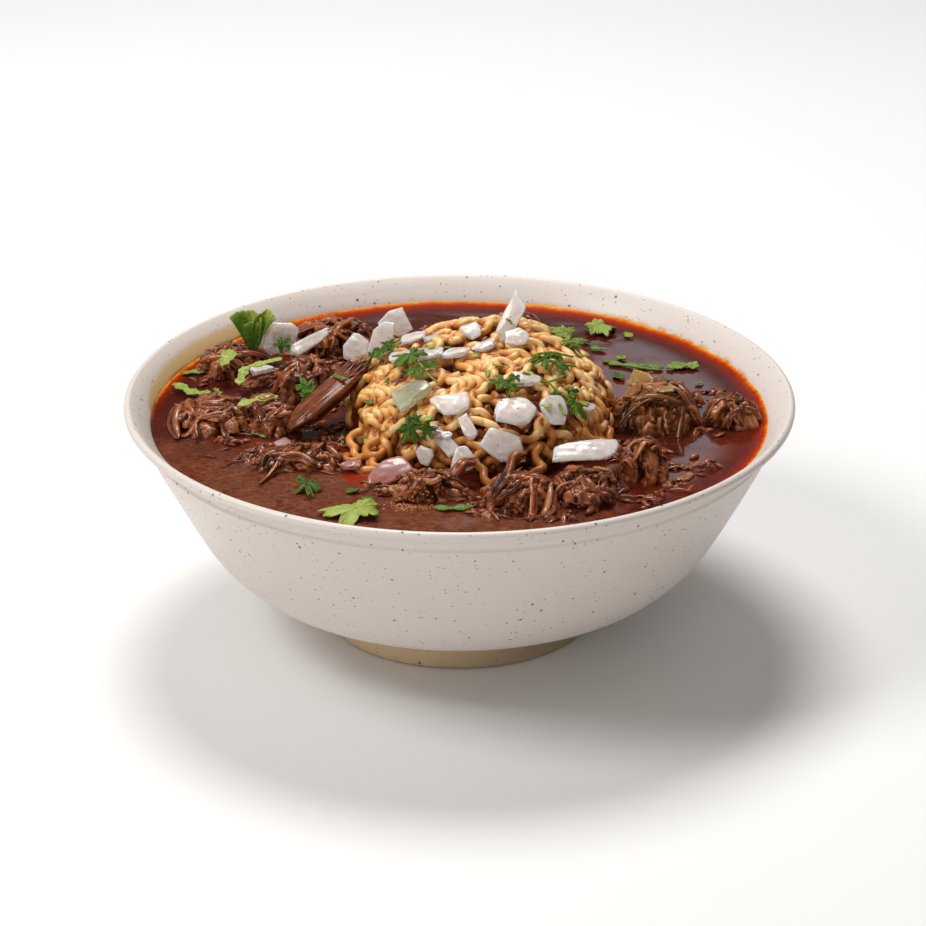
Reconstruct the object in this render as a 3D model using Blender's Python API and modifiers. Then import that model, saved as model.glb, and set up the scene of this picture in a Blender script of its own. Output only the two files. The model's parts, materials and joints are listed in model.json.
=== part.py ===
"""Bowl of birria ramen: a speckled melamine noodle bowl filled with red broth, a heap of wavy
noodles, clumps of shredded beef, diced white onion and chopped cilantro.

Frame: metres, +Z up. The origin is on the bowl's axis, in the plane that its foot rests on.
+X is to the right and -Y to the front of the bowl as it is served.
Places of the toppings are written in millimetres (MM) in this frame.
"""
import math
import random

import bmesh
import bpy
from mathutils import Matrix, Vector, noise

MM = 0.001
GAP = 0.0003                      # clearance between touching pieces
SMOOTH_ANGLE = 40                 # edges sharper than this, in degrees, stay sharp

# Bowl: driving sizes, in millimetres
RIM_RADIUS = 108.0
BOWL_HEIGHT = 77.3
WALL = 2.7
LIP_ROUND = 1.45                  # radius of the rounded lip
FOOT_RADIUS = 44.6
FOOT_RING = 4.0                   # width of the foot ring
FOOT_ROUND = 1.2
BASE_THICKNESS = 3.0
BASE_UNDERSIDE = 9.8              # height of the recess inside the foot ring
BOWL_STEPS = 40
BODY_CURVE = (                    # outer side of the body, from the foot up: radius, height
    (44.6, 13.2), (53.8, 14.4), (69.1, 19.2), (77.7, 25.9), (84.2, 34.1), (92.2, 48.5), (99.1, 61.9))
COLLAR_BEAD = ((101.3, 67.2), (101.9, 68.2), (101.7, 69.4))
INNER_FLARE = ((99.5, 70.1), (102.9, 74.2))

# Contents
BROTH_LEVEL = 69.6
HEAP_CENTRE = (7.5, -3.0)
HEAP_HALF_WIDTH = 40.8
HEAP_HALF_FRONT = 41.8
HEAP_HALF_BACK = 46.0
HEAP_SEAT = 67.6                  # height of the heap's widest section
HEAP_RISE = 23.6
HEAP_DEPTH = 6.0
HEAP_POWER = 2.4
HEAP_CREST = (17.0, 10.0)         # the heap's highest spot
HEAP_CREST_RISE = 4.0
HEAP_CREST_SPREAD = 14.0

NOODLE_THICKNESS = 2.5
NOODLE_WAVE_LENGTH = 8.0
NOODLE_WAVE_SIDE = 1.9
NOODLE_WAVE_RISE = 0.9
NOODLE_WAVE_POINTS = 5             # points in one wave
NOODLE_LIFT = 1.05                 # height of a strand's middle line above the core
NOODLE_DRIFT = 0.05                # how fast a strand's course wanders
NOODLE_FLANK_STRANDS = 24          # strands that run from the top down to the broth
NOODLE_TOP_STRANDS = 8
NOODLE_BUNDLE_STRANDS = 5          # strands of the fold on the heap's right side
NOODLE_BUNDLE_ANGLES = (-48, -8)   # where the fold starts and ends, in degrees round the heap

CHIP_BEND = 30.0                  # radius of the onion's layers
CHIP_UNEVEN = 0.35
LEAF_THICKNESS = 0.5
LEAF_SPOKES = 13
LEAF_DROOP = 0.72                 # how far a leaf's tips hang
STEM_RADIUS = 0.7
STRIP_UNEVEN = 0.25
STRIP_TWIST = 0.3

# Beef clumps on the broth: centre, half sizes along and across, rise above the broth, turn, shreds
BEEF_CLUMPS = {
    "beef_back_left": ((-42, 60), (15, 9), 8.0, 10, 3),
    "beef_left_back": ((-75, 40), (12, 10), 6.5, 40, 3),
    "beef_left": ((-79, -5), (14, 12), 6.0, -20, 4),
    "beef_left_inner": ((-59, -10), (8, 9), 6.5, -15, 2),
    "beef_mid_left": ((-50, 20), (12, 9), 10.0, 60, 3),
    "beef_front_left": ((-51, -38), (14, 9), 3.5, 8, 3),
    "beef_front": ((-9, -62), (12, 7), 6.0, -10, 3),
    "beef_front_mid": ((18, -67), (12, 10), 7.0, 15, 3),
    "beef_front_right": ((38, -63), (10, 9), 7.0, -20, 3),
    "beef_upright": ((57, -49), (7, 7), 12.0, 80, 3),
    "beef_right": ((64, -4), (16, 13), 11.0, 70, 4),
    "beef_far_right": ((87, -4), (9, 7.5), 6.5, -15, 2),
    "beef_back": ((21, 77), (8, 4.5), 4.5, 0, 2),
}
BEEF_DIP = 2.0                    # how deep a clump sits in the broth
SHRED_ARCH = 2.2                  # how far a shred bows above the clump
# Slab of beef that leans on the noodles: lower end, upper end, half width, half thickness
BEEF_SLAB = ((-54, -21, 73.5), (-29, 9, 86), 6.0, 3.2)
# Loose shreds fused to a clump: lower end, upper end
BEEF_LOOSE_SHREDS = {
    "beef_front": ((-3, -60, 74), (5, -55, 77)),
    "beef_front_mid": ((14, -60, 74.5), (20, -53, 79)),
}

# Diced onion: centre, size (long, across, thick), direction of the long side, direction it faces.
# No facing direction means that the piece lies on the slope of the noodles.
ONIONS = {
    "onion_top_shard": ((16, 7, 99), (17, 6, 3.2), (8, 9, 11), (-4, -9, 7)),
    "onion_back_round": ((-21, 22, 92.5), (11, 9, 3.8), (1, 0, 0.2), (0, -8, 4)),
    "onion_back_upright": ((-25, 14, 90), (7.5, 12, 3.8), (1, 0, -0.1), (-2, -9, 3)),
    "onion_back_flat": ((-15, 9, 93), (8.5, 7, 3.2), (1, 0, 0), None),
    "onion_long_top": ((-14, -8, 94), (18, 7, 3.0), (1, -0.15, 0), None),
    "onion_top_bright": ((4, 3, 97.5), (7, 6.5, 3.2), (1, 0.6, 0.1), (0, -4, 9)),
    "onion_top_left": ((-1, -10, 95.5), (7, 6, 3.0), (1, -0.4, 0), None),
    "onion_top_mid": ((8, -8, 97), (8.5, 4.5, 3.0), (1, 0.5, 0), None),
    "onion_top_right": ((18, -5, 98.5), (9, 6.5, 3.2), (1, 0.4, 0), (0, -5, 9)),
    "onion_slab_top": ((-34, 22, 84), (9.5, 9.5, 3.4), (1, 0, -0.15), (-3, -9, 4)),
    "onion_glassy": ((-15, -30, 90), (12.5, 11.5, 4.0), (9, 3, 4), None),
    "onion_front_upper": ((-3, -38, 89.5), (12.5, 8.5, 3.8), (1, 0, -0.1), None),
    "onion_front_strip": ((-5, -45.5, 81), (13, 5.0, 3.0), (8.5, -4, -10), None),
    "onion_front_small": ((2.5, -46, 85), (8.5, 4.2, 3.2), (4, -2, -7), None),
    "onion_front_bright": ((12.5, -49, 80.5), (14, 11, 4.0), (1, 0, 0.1), None),
    "onion_right_large": ((17.5, -41.5, 89), (12.5, 10.5, 4.0), (1, -0.1, -0.15), None),
    "onion_right_pair": ((29.5, -37.5, 87.5), (9, 11, 3.6), (1, 0.2, 0), None),
    "onion_right_back": ((21, -28, 93.5), (9, 6, 3.0), (1, 0, 0), None),
    "onion_low_square": ((-11, -47.5, 76), (6.5, 5.5, 3.0), (1, 0, -0.3), None),
    "onion_pink_large": ((-22, -51, 72.5), (14, 9, 3.4), (1, 0.3, 0.3), (-1, -4, 8)),
    "onion_pink_small": ((-34, -44.5, 71.5), (6.5, 5, 3.2), (1, 0, 0), (0, 0, 1)),
    "onion_front_low": ((2, -53.5, 77.5), (8, 8, 3.8), (1, -0.3, -0.2), (0, -8, 6)),
    "onion_long_right": ((39, -48.5, 78.5), (20, 8, 3.4), (1, 0.08, 0), (0, -4, 9)),
    "onion_left_upright": ((-60, 45, 78), (11.5, 10.5, 3.4), (1, 0, 0), (0.5, -9, 3)),
    "onion_left_sliver": ((-50, 38, 79.5), (15, 4.5, 3.0), (13, 5, 5.5), (-2, -7, 7)),
    "onion_left_low": ((-65, 26, 75), (8, 6, 3.0), (1, 0.2, 0), (0, 0, 1)),
}

# Cilantro leaves: centre, size (long, across), direction of the stem side, facing direction, stem end
LEAVES = {
    "leaf_glassy": ((-15, -14, 95.5), (12, 12), (-1, 0.6, 0.2), None, (-7, -28, 92.5)),
    "leaf_front_dark": ((-15, -42.5, 83), (11, 9), (-0.6, -0.4, -1), None, (-8, -44.5, 87)),
    "leaf_back_right": ((34, 12, 93), (10, 9), (-1, 0.4, 0.1), (0, -2, 8), (39, -1, 90)),
    "leaf_right_upper": ((27, -17, 95.5), (10, 8), (-1, -0.6, 0), None, (37, -15, 92.5)),
    "leaf_right_edge": ((14, -32, 94), (9, 7), (-1, 0.1, -0.2), None, (20, -34, 94.5)),
    "leaf_right_sprig": ((36, -31, 86), (10, 8), (0.6, -0.3, -1), None, (28, -27, 92)),
    "leaf_back_dark": ((-25, 1, 91), (11, 8), (-0.5, -0.4, -0.5), None, (-19, 5, 94)),
    "leaf_mid_left": ((-49, -1, 79.5), (8, 7), (-0.4, 0.6, 0.4), (0, -5, 8), (-47, -9, 76.5)),
    "leaf_light_front": ((-31, -77, 71.0), (20, 17), (-1, -0.1, 0), (0, 0, 1), None),
    "leaf_dark_float": ((-47, -58, 71.0), (14, 8), (0.2, -1, 0), (0, 0, 1), None),
    "leaf_back_float": ((47, 72, 71.2), (12, 13), (1, 0.2, 0), (0, 0, 1), None),
    "leaf_left_dark": ((-59, 36, 79), (7, 6), (0.6, 0.2, 0.6), (0, -6, 6), None),
}
# Cut leaf strips: points along the strip and its width
STRIPS = {
    "strip_light_long": (((-72, 15, 73.5), (-70, 21, 76.5), (-65, 22, 78), (-58, 24, 79)), 3.2),
    "strip_left_fold": (((-77, 33, 78.5), (-76, 28, 78.5), (-78, 24, 76.5)), 4.6),
    "strip_chain": (((-93.5, 22, 71.2), (-90, 17, 71.2), (-86, 13.5, 71.2), (-81, 12, 72)), 3.6),
    "strip_yellow": (((-71, -11, 77), (-65, -8, 77.8), (-58, -5, 77.8)), 3.4),
}
# Leaf pieces that float flat on the broth and are part of its surface
FLOATING_STRIPS = (
    (((-92, 33), (-87, 35), (-81, 36)), 3.0),
    (((48, 45), (54, 41), (62, 40), (68, 38)), 2.4),
    (((69, 38), (75, 40), (80, 39)), 4.5),
    (((-8, -73), (-2, -74), (5, -72)), 2.6),
)
# Folded cilantro bunch that stands like a fan: foot, height, half width, number of folds
FAN = ((-70, 41, 77.0), 12.5, 7.0, 4)

# Most triangles of a fused piece before its neighbours' room is cut from it
HEAP_FACETS = 4700
CLUMP_FACETS = 130
LEAF_FACETS = 72

COLOURS = {
    "bowl": (0.80, 0.75, 0.69), "broth": (0.16, 0.035, 0.02), "noodles": (0.72, 0.48, 0.22),
    "beef": (0.13, 0.05, 0.03), "onion": (0.82, 0.78, 0.72), "leaf": (0.05, 0.20, 0.03)}
ROUGHNESS = {"bowl": 0.35, "broth": 0.12, "noodles": 0.35, "beef": 0.3, "onion": 0.25, "leaf": 0.4}


# ---------------------------------------------------------------- scene and materials

def clear_scene():
    for obj in list(bpy.data.objects):
        bpy.data.objects.remove(obj, do_unlink=True)


def make_collection(name):
    collection = bpy.data.collections.new(name)
    bpy.context.scene.collection.children.link(collection)
    return collection


def make_material(name):
    material = bpy.data.materials.new(name)
    material.use_nodes = True
    shader = material.node_tree.nodes["Principled BSDF"]
    shader.inputs["Base Color"].default_value = (*COLOURS[name], 1.0)
    shader.inputs["Roughness"].default_value = ROUGHNESS[name]
    shader.inputs["Metallic"].default_value = 0.0
    return material


def add_object(name, mesh):
    obj = bpy.data.objects.new(name, mesh)
    PARTS.objects.link(obj)
    return obj


def object_from_bmesh(name, bm):
    bmesh.ops.recalc_face_normals(bm, faces=bm.faces)
    mesh = bpy.data.meshes.new(name)
    bm.to_mesh(mesh)
    bm.free()
    return add_object(name, mesh)


def bake(obj):
    """Apply the object's modifiers and its placing to its mesh."""
    graph = bpy.context.evaluated_depsgraph_get()
    mesh = bpy.data.meshes.new_from_object(obj.evaluated_get(graph))
    mesh.transform(obj.matrix_world)
    obj.modifiers.clear()
    obj.data = mesh
    obj.matrix_world = Matrix.Identity(4)
    return obj


def finish(obj, material, holder):
    """Give the object its material and its own origin, and hang it on the holder."""
    obj.data.materials.clear()
    obj.data.materials.append(material)
    obj.data.shade_smooth()
    obj.data.set_sharp_from_angle(angle=math.radians(SMOOTH_ANGLE))
    low, high = box_of(obj)
    middle = (low + high) / 2
    obj.data.transform(Matrix.Translation(-middle))
    obj.location = middle
    obj.parent = holder


# ---------------------------------------------------------------- joining and cutting

def combine(obj, others, operation):
    """Join the others to the object, or cut them from it, and remove them."""
    group = bpy.data.collections.new(obj.name + "_tools")
    bpy.context.scene.collection.children.link(group)
    for other in others:
        PARTS.objects.unlink(other)
        group.objects.link(other)
    boolean = obj.modifiers.new(operation.title(), "BOOLEAN")
    boolean.operation = operation
    boolean.solver = "MANIFOLD"          # the exact solver splits the heap of strands
    boolean.operand_type = "COLLECTION"
    boolean.collection = group
    bake(obj)
    for other in others:
        bpy.data.objects.remove(other, do_unlink=True)
    bpy.data.collections.remove(group)
    keep_main_body(obj)
    return obj


def keep_main_body(obj):
    """Drop loose scraps and fill sealed hollows: only the largest closed body stays."""
    bm = bmesh.new()
    bm.from_mesh(obj.data)
    bmesh.ops.triangulate(bm, faces=bm.faces)
    left = set(bm.verts)
    bodies = []
    while left:
        body = {left.pop()}
        front = list(body)
        while front:
            for edge in front.pop().link_edges:
                for vert in edge.verts:
                    if vert in left:
                        left.discard(vert)
                        body.add(vert)
                        front.append(vert)
        faces = {face for vert in body for face in vert.link_faces}
        volume = sum(f.verts[0].co.dot(f.verts[1].co.cross(f.verts[2].co)) for f in faces) / 6
        bodies.append((volume, body))
    bodies.sort(key=lambda item: item[0])
    for _, body in bodies[:-1]:
        bmesh.ops.delete(bm, geom=list(body), context="VERTS")
    bm.to_mesh(obj.data)
    bm.free()


def thin_out(obj, limit):
    """Collapse the smallest facets until the object has no more triangles than the limit."""
    count = len(obj.data.polygons)
    if count > limit:
        thinner = obj.modifiers.new("Thin out", "DECIMATE")
        thinner.ratio = limit / count
        bake(obj)
    return obj


def box_of(obj):
    corners = [vert.co for vert in obj.data.vertices]
    low = Vector([min(c[i] for c in corners) for i in range(3)])
    high = Vector([max(c[i] for c in corners) for i in range(3)])
    return low, high


def near(one, other, reach):
    low_a, high_a = box_of(one)
    low_b, high_b = box_of(other)
    return all(low_a[i] - reach < high_b[i] and low_b[i] - reach < high_a[i] for i in range(3))


def grown_copy(obj):
    """A copy of the object that is larger by the clearance on every side."""
    bm = bmesh.new()
    bm.from_mesh(obj.data)
    bm.normal_update()
    moves = [vert.normal * GAP * min(1.15 * vert.calc_shell_factor(), 2.2) for vert in bm.verts]
    for vert, move in zip(bm.verts, moves):
        vert.co += move
    mesh = bpy.data.meshes.new(obj.name + "_clearance")
    bm.to_mesh(mesh)
    bm.free()
    return add_object(mesh.name, mesh)


def clear_of(obj, others):
    """Cut the room of the others, with its clearance, out of the object."""
    cutters = [grown_copy(other) for other in others if near(obj, other, 2 * GAP)]
    if cutters:
        combine(obj, cutters, "DIFFERENCE")
    return obj


# ---------------------------------------------------------------- bowl and broth

def smooth_curve(points, parts):
    """Points on a Catmull-Rom curve through the given points."""
    ends = [points[0], *points, points[-1]]
    curve = []
    for i in range(1, len(ends) - 2):
        a, b, c, d = (Vector(p) for p in ends[i - 1:i + 3])
        for k in range(parts):
            t = k / parts
            curve.append(0.5 * (2 * b + (c - a) * t + (2 * a - 5 * b + 4 * c - d) * t * t
                                + (3 * b - a - 3 * c + d) * t ** 3))
    curve.append(Vector(points[-1]))
    return [tuple(p) for p in curve]


def offset_inwards(points, distance):
    """The body's curve moved inwards, along its own normals."""
    moved = []
    for i, point in enumerate(points):
        before = Vector(points[max(i - 1, 0)])
        after = Vector(points[min(i + 1, len(points) - 1)])
        along = (after - before).normalized()
        moved.append((point[0] - along.y * distance, point[1] + along.x * distance))
    return moved


def inner_wall(distance):
    """Inner profile from the rim's foot down to the axis, inside the outer side by the distance."""
    wall = offset_inwards(smooth_curve(BODY_CURVE, 1), distance)[::-1]
    floor_height = BASE_UNDERSIDE + BASE_THICKNESS + distance - WALL
    return [*wall, (28.0, floor_height + 0.6), (0.0, floor_height)]


def arc(centre, radius, start, end, steps):
    angles = [math.radians(start + (end - start) * i / steps) for i in range(steps + 1)]
    return [(centre[0] + radius * math.cos(a), centre[1] + radius * math.sin(a)) for a in angles]


def turned(name, profile):
    """Solid of revolution of a profile that runs from the axis round to the axis."""
    bm = bmesh.new()
    verts = [bm.verts.new((r * MM, 0, z * MM)) for r, z in profile]
    for one, other in zip(verts, verts[1:]):
        bm.edges.new((one, other))
    mesh = bpy.data.meshes.new(name)
    bm.to_mesh(mesh)
    bm.free()
    obj = add_object(name, mesh)
    screw = obj.modifiers.new("Turn", "SCREW")
    screw.steps = BOWL_STEPS
    screw.render_steps = BOWL_STEPS
    screw.use_merge_vertices = True
    screw.merge_threshold = 0.00001
    bake(obj)
    bm = bmesh.new()
    bm.from_mesh(obj.data)
    bmesh.ops.recalc_face_normals(bm, faces=bm.faces)
    bmesh.ops.triangulate(bm, faces=bm.faces)
    bm.to_mesh(obj.data)
    bm.free()
    return obj


def make_bowl():
    lip_centre = (RIM_RADIUS - LIP_ROUND, BOWL_HEIGHT - LIP_ROUND)
    foot_inner = FOOT_RADIUS - FOOT_RING
    round_centre = (FOOT_RADIUS - FOOT_ROUND, FOOT_ROUND)
    outer = [
        *inner_wall(WALL)[::-1],
        *INNER_FLARE,
        *arc(lip_centre, LIP_ROUND, 120, -90, 6),
        *COLLAR_BEAD[::-1],
        *smooth_curve(BODY_CURVE, 1)[::-1],
        *arc(round_centre, FOOT_ROUND, 0, -90, 2),
        (foot_inner + FOOT_ROUND, 0.0),
        (foot_inner, FOOT_ROUND),
        (foot_inner - 1.0, BASE_UNDERSIDE - 1.2),
        (foot_inner - 4.0, BASE_UNDERSIDE),
        (0.0, BASE_UNDERSIDE),
    ]
    return turned("bowl", outer)


def make_broth():
    wall = inner_wall(WALL + GAP / MM)
    edge = Vector(INNER_FLARE[0]) - Vector((1.3 * GAP / MM, 0))
    below = Vector(wall[0])
    share = (BROTH_LEVEL - below.y) / (edge.y - below.y)
    rim = below.lerp(edge, share)
    return turned("broth", [(0.0, BROTH_LEVEL), (rim.x * 0.55, BROTH_LEVEL), tuple(rim), *wall])


# ---------------------------------------------------------------- the heap's form

def heap_reach(point):
    """How far out of the heap a point is: below 1 inside its core, 1 on it, above 1 outside."""
    across = (point.x - HEAP_CENTRE[0]) / HEAP_HALF_WIDTH
    depth = point.y - HEAP_CENTRE[1]
    along = depth / (HEAP_HALF_BACK if depth > 0 else HEAP_HALF_FRONT)
    crest = math.exp(-((point.x - HEAP_CREST[0]) ** 2 + (point.y - HEAP_CREST[1]) ** 2)
                     / (2 * HEAP_CREST_SPREAD ** 2))
    above = point.z > HEAP_SEAT
    rise = (point.z - HEAP_SEAT) / (HEAP_RISE + HEAP_CREST_RISE * crest if above else HEAP_DEPTH)
    return ((across ** 2 + along ** 2) ** (HEAP_POWER / 2) + abs(rise) ** HEAP_POWER) ** (1 / HEAP_POWER)


def heap_normal(point):
    step = 0.05
    slope = [heap_reach(point + step * axis) - heap_reach(point - step * axis)
             for axis in (Vector((1, 0, 0)), Vector((0, 1, 0)), Vector((0, 0, 1)))]
    return Vector(slope).normalized()


def heap_surface(x, y):
    """The point of the heap's core above a place in plan."""
    low, high = HEAP_SEAT, HEAP_SEAT + HEAP_RISE + HEAP_CREST_RISE
    for _ in range(20):
        middle = (low + high) / 2
        if heap_reach(Vector((x, y, middle))) < 1:
            low = middle
        else:
            high = middle
    return Vector((x, y, low))


def on_heap(point):
    """The point moved straight from the heap's middle onto the surface of its core."""
    middle = Vector((*HEAP_CENTRE, HEAP_SEAT))
    for _ in range(3):
        point = middle + (point - middle) / heap_reach(point)
    return point


def frame_of(centre, along, face):
    """Placing with its X axis along one direction and its Z axis as near as can be to the other."""
    normal = Vector(face).normalized() if face else heap_normal(Vector(centre))
    side = Vector(along) - normal * Vector(along).dot(normal)
    side.normalize()
    turn = Matrix((side, normal.cross(side), normal)).transposed().to_4x4()
    return Matrix.Translation(Vector(centre) * MM) @ turn


# ---------------------------------------------------------------- tubes, lumps, chips and leaves

def tube(name, points, radii, sides):
    """Closed tube through the points, made from a bevelled curve; its cross-section has few sides."""
    curve = bpy.data.curves.new(name, "CURVE")
    curve.dimensions = "3D"
    curve.bevel_depth = 1.0 * MM
    curve.bevel_resolution = (sides - 4) // 2
    curve.use_fill_caps = True
    spline = curve.splines.new("POLY")
    spline.points.add(len(points) - 1)
    for spot, point, radius in zip(spline.points, points, radii):
        spot.co = (*(Vector(point) * MM), 1.0)
        spot.radius = radius
    source = bpy.data.objects.new(name + "_curve", curve)
    PARTS.objects.link(source)
    graph = bpy.context.evaluated_depsgraph_get()
    mesh = bpy.data.meshes.new_from_object(source.evaluated_get(graph))
    bpy.data.objects.remove(source, do_unlink=True)
    bm = bmesh.new()
    bm.from_mesh(mesh)
    bmesh.ops.remove_doubles(bm, verts=bm.verts, dist=0.00001)
    bmesh.ops.triangulate(bm, faces=bm.faces)
    bpy.data.meshes.remove(mesh)
    return object_from_bmesh(name, bm)


def lump(name, half, rise, dip, power, sides, rings, roughness, seed):
    """Uneven rounded lump: half sizes in plan, rise above and dip below its widest section."""
    bm = bmesh.new()
    bmesh.ops.create_uvsphere(bm, u_segments=sides, v_segments=rings, radius=1.0)
    shift = Vector((seed * 3.7, seed * 1.3, 0.5))
    for vert in bm.verts:
        flat = math.hypot(vert.co.x, vert.co.y)
        reach = flat ** (2 / power) / max(flat, 1e-6)
        height = abs(vert.co.z) ** (2 / power)
        uneven = 1 + roughness * noise.noise(vert.co * 1.7 + shift)
        level = height * rise * uneven if vert.co.z > 0 else -height * dip
        vert.co = Vector((vert.co.x * reach * half[0] * uneven,
                          vert.co.y * reach * half[1] * uneven, level)) * MM
    bmesh.ops.triangulate(bm, faces=bm.faces)
    return object_from_bmesh(name, bm)


def chip(name, centre, size, along, face, seed):
    """Piece of diced onion: a bent plate with uneven corners."""
    draw = random.Random(seed)
    bm = bmesh.new()
    bmesh.ops.create_grid(bm, x_segments=2, y_segments=2, size=0.5)
    skew = draw.uniform(-0.12, 0.12)
    for vert in bm.verts:
        x = vert.co.x * (1 + CHIP_UNEVEN * draw.uniform(-1, 1) * abs(vert.co.y)) + skew * vert.co.y
        y = vert.co.y * (1 + CHIP_UNEVEN * draw.uniform(-1, 1) * abs(vert.co.x))
        drop = ((y * size[1]) ** 2 + 0.4 * (x * size[0]) ** 2) / (2 * CHIP_BEND)
        vert.co = Vector((x * size[0], y * size[1], size[2] / 2 - drop)) * MM
    bmesh.ops.triangulate(bm, faces=bm.faces)
    bmesh.ops.solidify(bm, geom=bm.faces[:], thickness=size[2] * MM)
    obj = object_from_bmesh(name, bm)
    obj.matrix_world = frame_of(centre, along, face)
    bpy.context.view_layer.update()
    return bake(obj)


def thicken(bm):
    bmesh.ops.triangulate(bm, faces=bm.faces)
    bmesh.ops.solidify(bm, geom=bm.faces[:], thickness=LEAF_THICKNESS * MM)


def leaf_reach(angle):
    """Outline of a cilantro leaf: three lobes, notched between them, and a narrow stem side."""
    lobes = abs(math.cos(1.5 * angle)) ** 0.6
    teeth = 0.10 * math.cos(9 * angle)
    return 0.30 + 0.62 * lobes * (1 - 0.35 * abs(angle) / math.pi) + teeth


def leaf(name, centre, size, along, face, stem_end, seed):
    """Lobed wavy leaf with, where it has one, its stem."""
    bm = bmesh.new()
    hub = bm.verts.new((0, 0, 0.5 * MM))
    rim = []
    for i in range(LEAF_SPOKES):
        angle = 2 * math.pi * i / LEAF_SPOKES
        spread = min(angle, 2 * math.pi - angle)
        reach = leaf_reach(spread)
        wave = 0.42 * math.sin(3 * angle + seed) - LEAF_DROOP * reach ** 2
        rim.append(bm.verts.new((size[0] / 2 * reach * math.cos(angle) * MM,
                                 size[1] / 2 * reach * math.sin(angle) * MM,
                                 (0.6 + wave) * MM)))
    for i in range(LEAF_SPOKES):
        bm.faces.new((hub, rim[i], rim[(i + 1) % LEAF_SPOKES]))
    thicken(bm)
    obj = object_from_bmesh(name, bm)
    obj.matrix_world = frame_of(centre, along, face)
    bpy.context.view_layer.update()
    bake(obj)
    if stem_end:
        stem = tube(name + "_stem", (centre, stem_end), [STEM_RADIUS] * 2, 4)
        combine(obj, [stem], "UNION")
    return thin_out(obj, LEAF_FACETS)


def strip(name, points, width, seed, parts=2):
    """Ribbon cut from a leaf, with uneven edges, along a smooth line through the points."""
    line = [Vector(p) for p in smooth_curve(points, parts)]
    bm = bmesh.new()
    rows = []
    for i, point in enumerate(line):
        along = (line[min(i + 1, len(line) - 1)] - line[max(i - 1, 0)]).normalized()
        side = along.cross(Vector((0, 0, 1))).normalized()
        half = width / 2 * (1 + STRIP_UNEVEN * math.sin(2.4 * i + seed))
        edge = side * half + Vector((0, 0, STRIP_TWIST * math.sin(i + seed)))
        rows.append([bm.verts.new((point + edge * way) * MM) for way in (-1, 1)])
    for one, other in zip(rows, rows[1:]):
        bm.faces.new((one[0], one[1], other[1], other[0]))
    thicken(bm)
    return object_from_bmesh(name, bm)


def make_fan():
    """Bunch of leaf folded like a fan, standing on its narrow foot."""
    foot, height, half_width, folds = FAN
    columns = 2 * folds
    bm = bmesh.new()
    rows = []
    for level in (0.0, 0.5, 1.0):
        row = []
        for i in range(columns + 1):
            share = i / columns * 2 - 1
            zigzag = 1.0 if i % 2 else -1.0
            tooth = 1.6 * zigzag * level
            row.append(bm.verts.new((
                (foot[0] + share * half_width * (0.25 + 0.75 * level)) * MM,
                (foot[1] + zigzag * (0.5 + 1.3 * level) + 3.0 * level) * MM,
                (foot[2] + height * level * (1 - 0.25 * share ** 2) + tooth) * MM)))
        rows.append(row)
    for lower, upper in zip(rows, rows[1:]):
        for i in range(columns):
            bm.faces.new((lower[i], lower[i + 1], upper[i + 1], upper[i]))
    thicken(bm)
    return object_from_bmesh("leaf_fan", bm)


# ---------------------------------------------------------------- noodles

def strand_path(start, heading, length):
    """Wavy line over the heap from a start point, down to just above the broth."""
    step = NOODLE_WAVE_LENGTH / NOODLE_WAVE_POINTS
    point = on_heap(Vector(start))
    ahead = Vector(heading)
    path = []
    for i in range(int(length / step)):
        normal = heap_normal(point)
        ahead = (ahead - normal * ahead.dot(normal)).normalized()
        side = normal.cross(ahead)
        phase = 2 * math.pi * i / NOODLE_WAVE_POINTS
        spot = (point + side * NOODLE_WAVE_SIDE * math.sin(phase)
                + normal * (NOODLE_LIFT + NOODLE_WAVE_RISE * math.sin(phase + 0.8)))
        if spot.z < BROTH_LEVEL + NOODLE_THICKNESS / 2 + 2 * GAP / MM:
            break
        path.append(spot)
        ahead += side * NOODLE_DRIFT * math.sin(i / 7 + start[0])
        point = on_heap(point + ahead * step)
    return path


def place_on_heap(angle, share):
    """A place on the heap's core, a share of the way from its middle to its edge in plan."""
    return heap_surface(HEAP_CENTRE[0] + HEAP_HALF_WIDTH * share * math.cos(angle),
                        HEAP_CENTRE[1] + HEAP_HALF_FRONT * share * math.sin(angle))


def make_strands():
    """Strands spread evenly over the flanks and the top, and a folded bundle on the right side."""
    draw = random.Random(7)
    first, last = (math.radians(a) for a in NOODLE_BUNDLE_ANGLES)
    routes = []
    for i in range(NOODLE_FLANK_STRANDS):
        angle = last + (2 * math.pi + first - last) * (i + 0.5) / NOODLE_FLANK_STRANDS
        turn = angle + draw.uniform(-0.45, 0.45)
        routes.append((angle, draw.uniform(0.42, 0.62), turn, 60))
    for i in range(NOODLE_TOP_STRANDS):
        angle = 2 * math.pi * i / NOODLE_TOP_STRANDS
        routes.append((angle, 0.3, angle + draw.uniform(1.4, 2.0), draw.uniform(26, 34)))
    for i in range(NOODLE_BUNDLE_STRANDS):
        angle = first + (last - first) * i / (NOODLE_BUNDLE_STRANDS - 1)
        routes.append((angle, 0.72, angle, 40))
    strands = []
    for i, (angle, share, turn, length) in enumerate(routes):
        path = strand_path(place_on_heap(angle, share), (math.cos(turn), math.sin(turn), 0), length)
        strands.append(tube(f"strand_{i}", path, [NOODLE_THICKNESS / 2] * len(path), 4))
    return strands


def make_noodles():
    core = lump("noodles", (HEAP_HALF_WIDTH, HEAP_HALF_FRONT), HEAP_RISE, HEAP_DEPTH,
                HEAP_POWER, 20, 9, 0.0, 0)
    for vert in core.data.vertices:
        place = vert.co / MM + Vector((*HEAP_CENTRE, HEAP_SEAT))
        vert.co = on_heap(place) * MM
    return thin_out(combine(core, make_strands(), "UNION"), HEAP_FACETS)


# ---------------------------------------------------------------- beef

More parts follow.
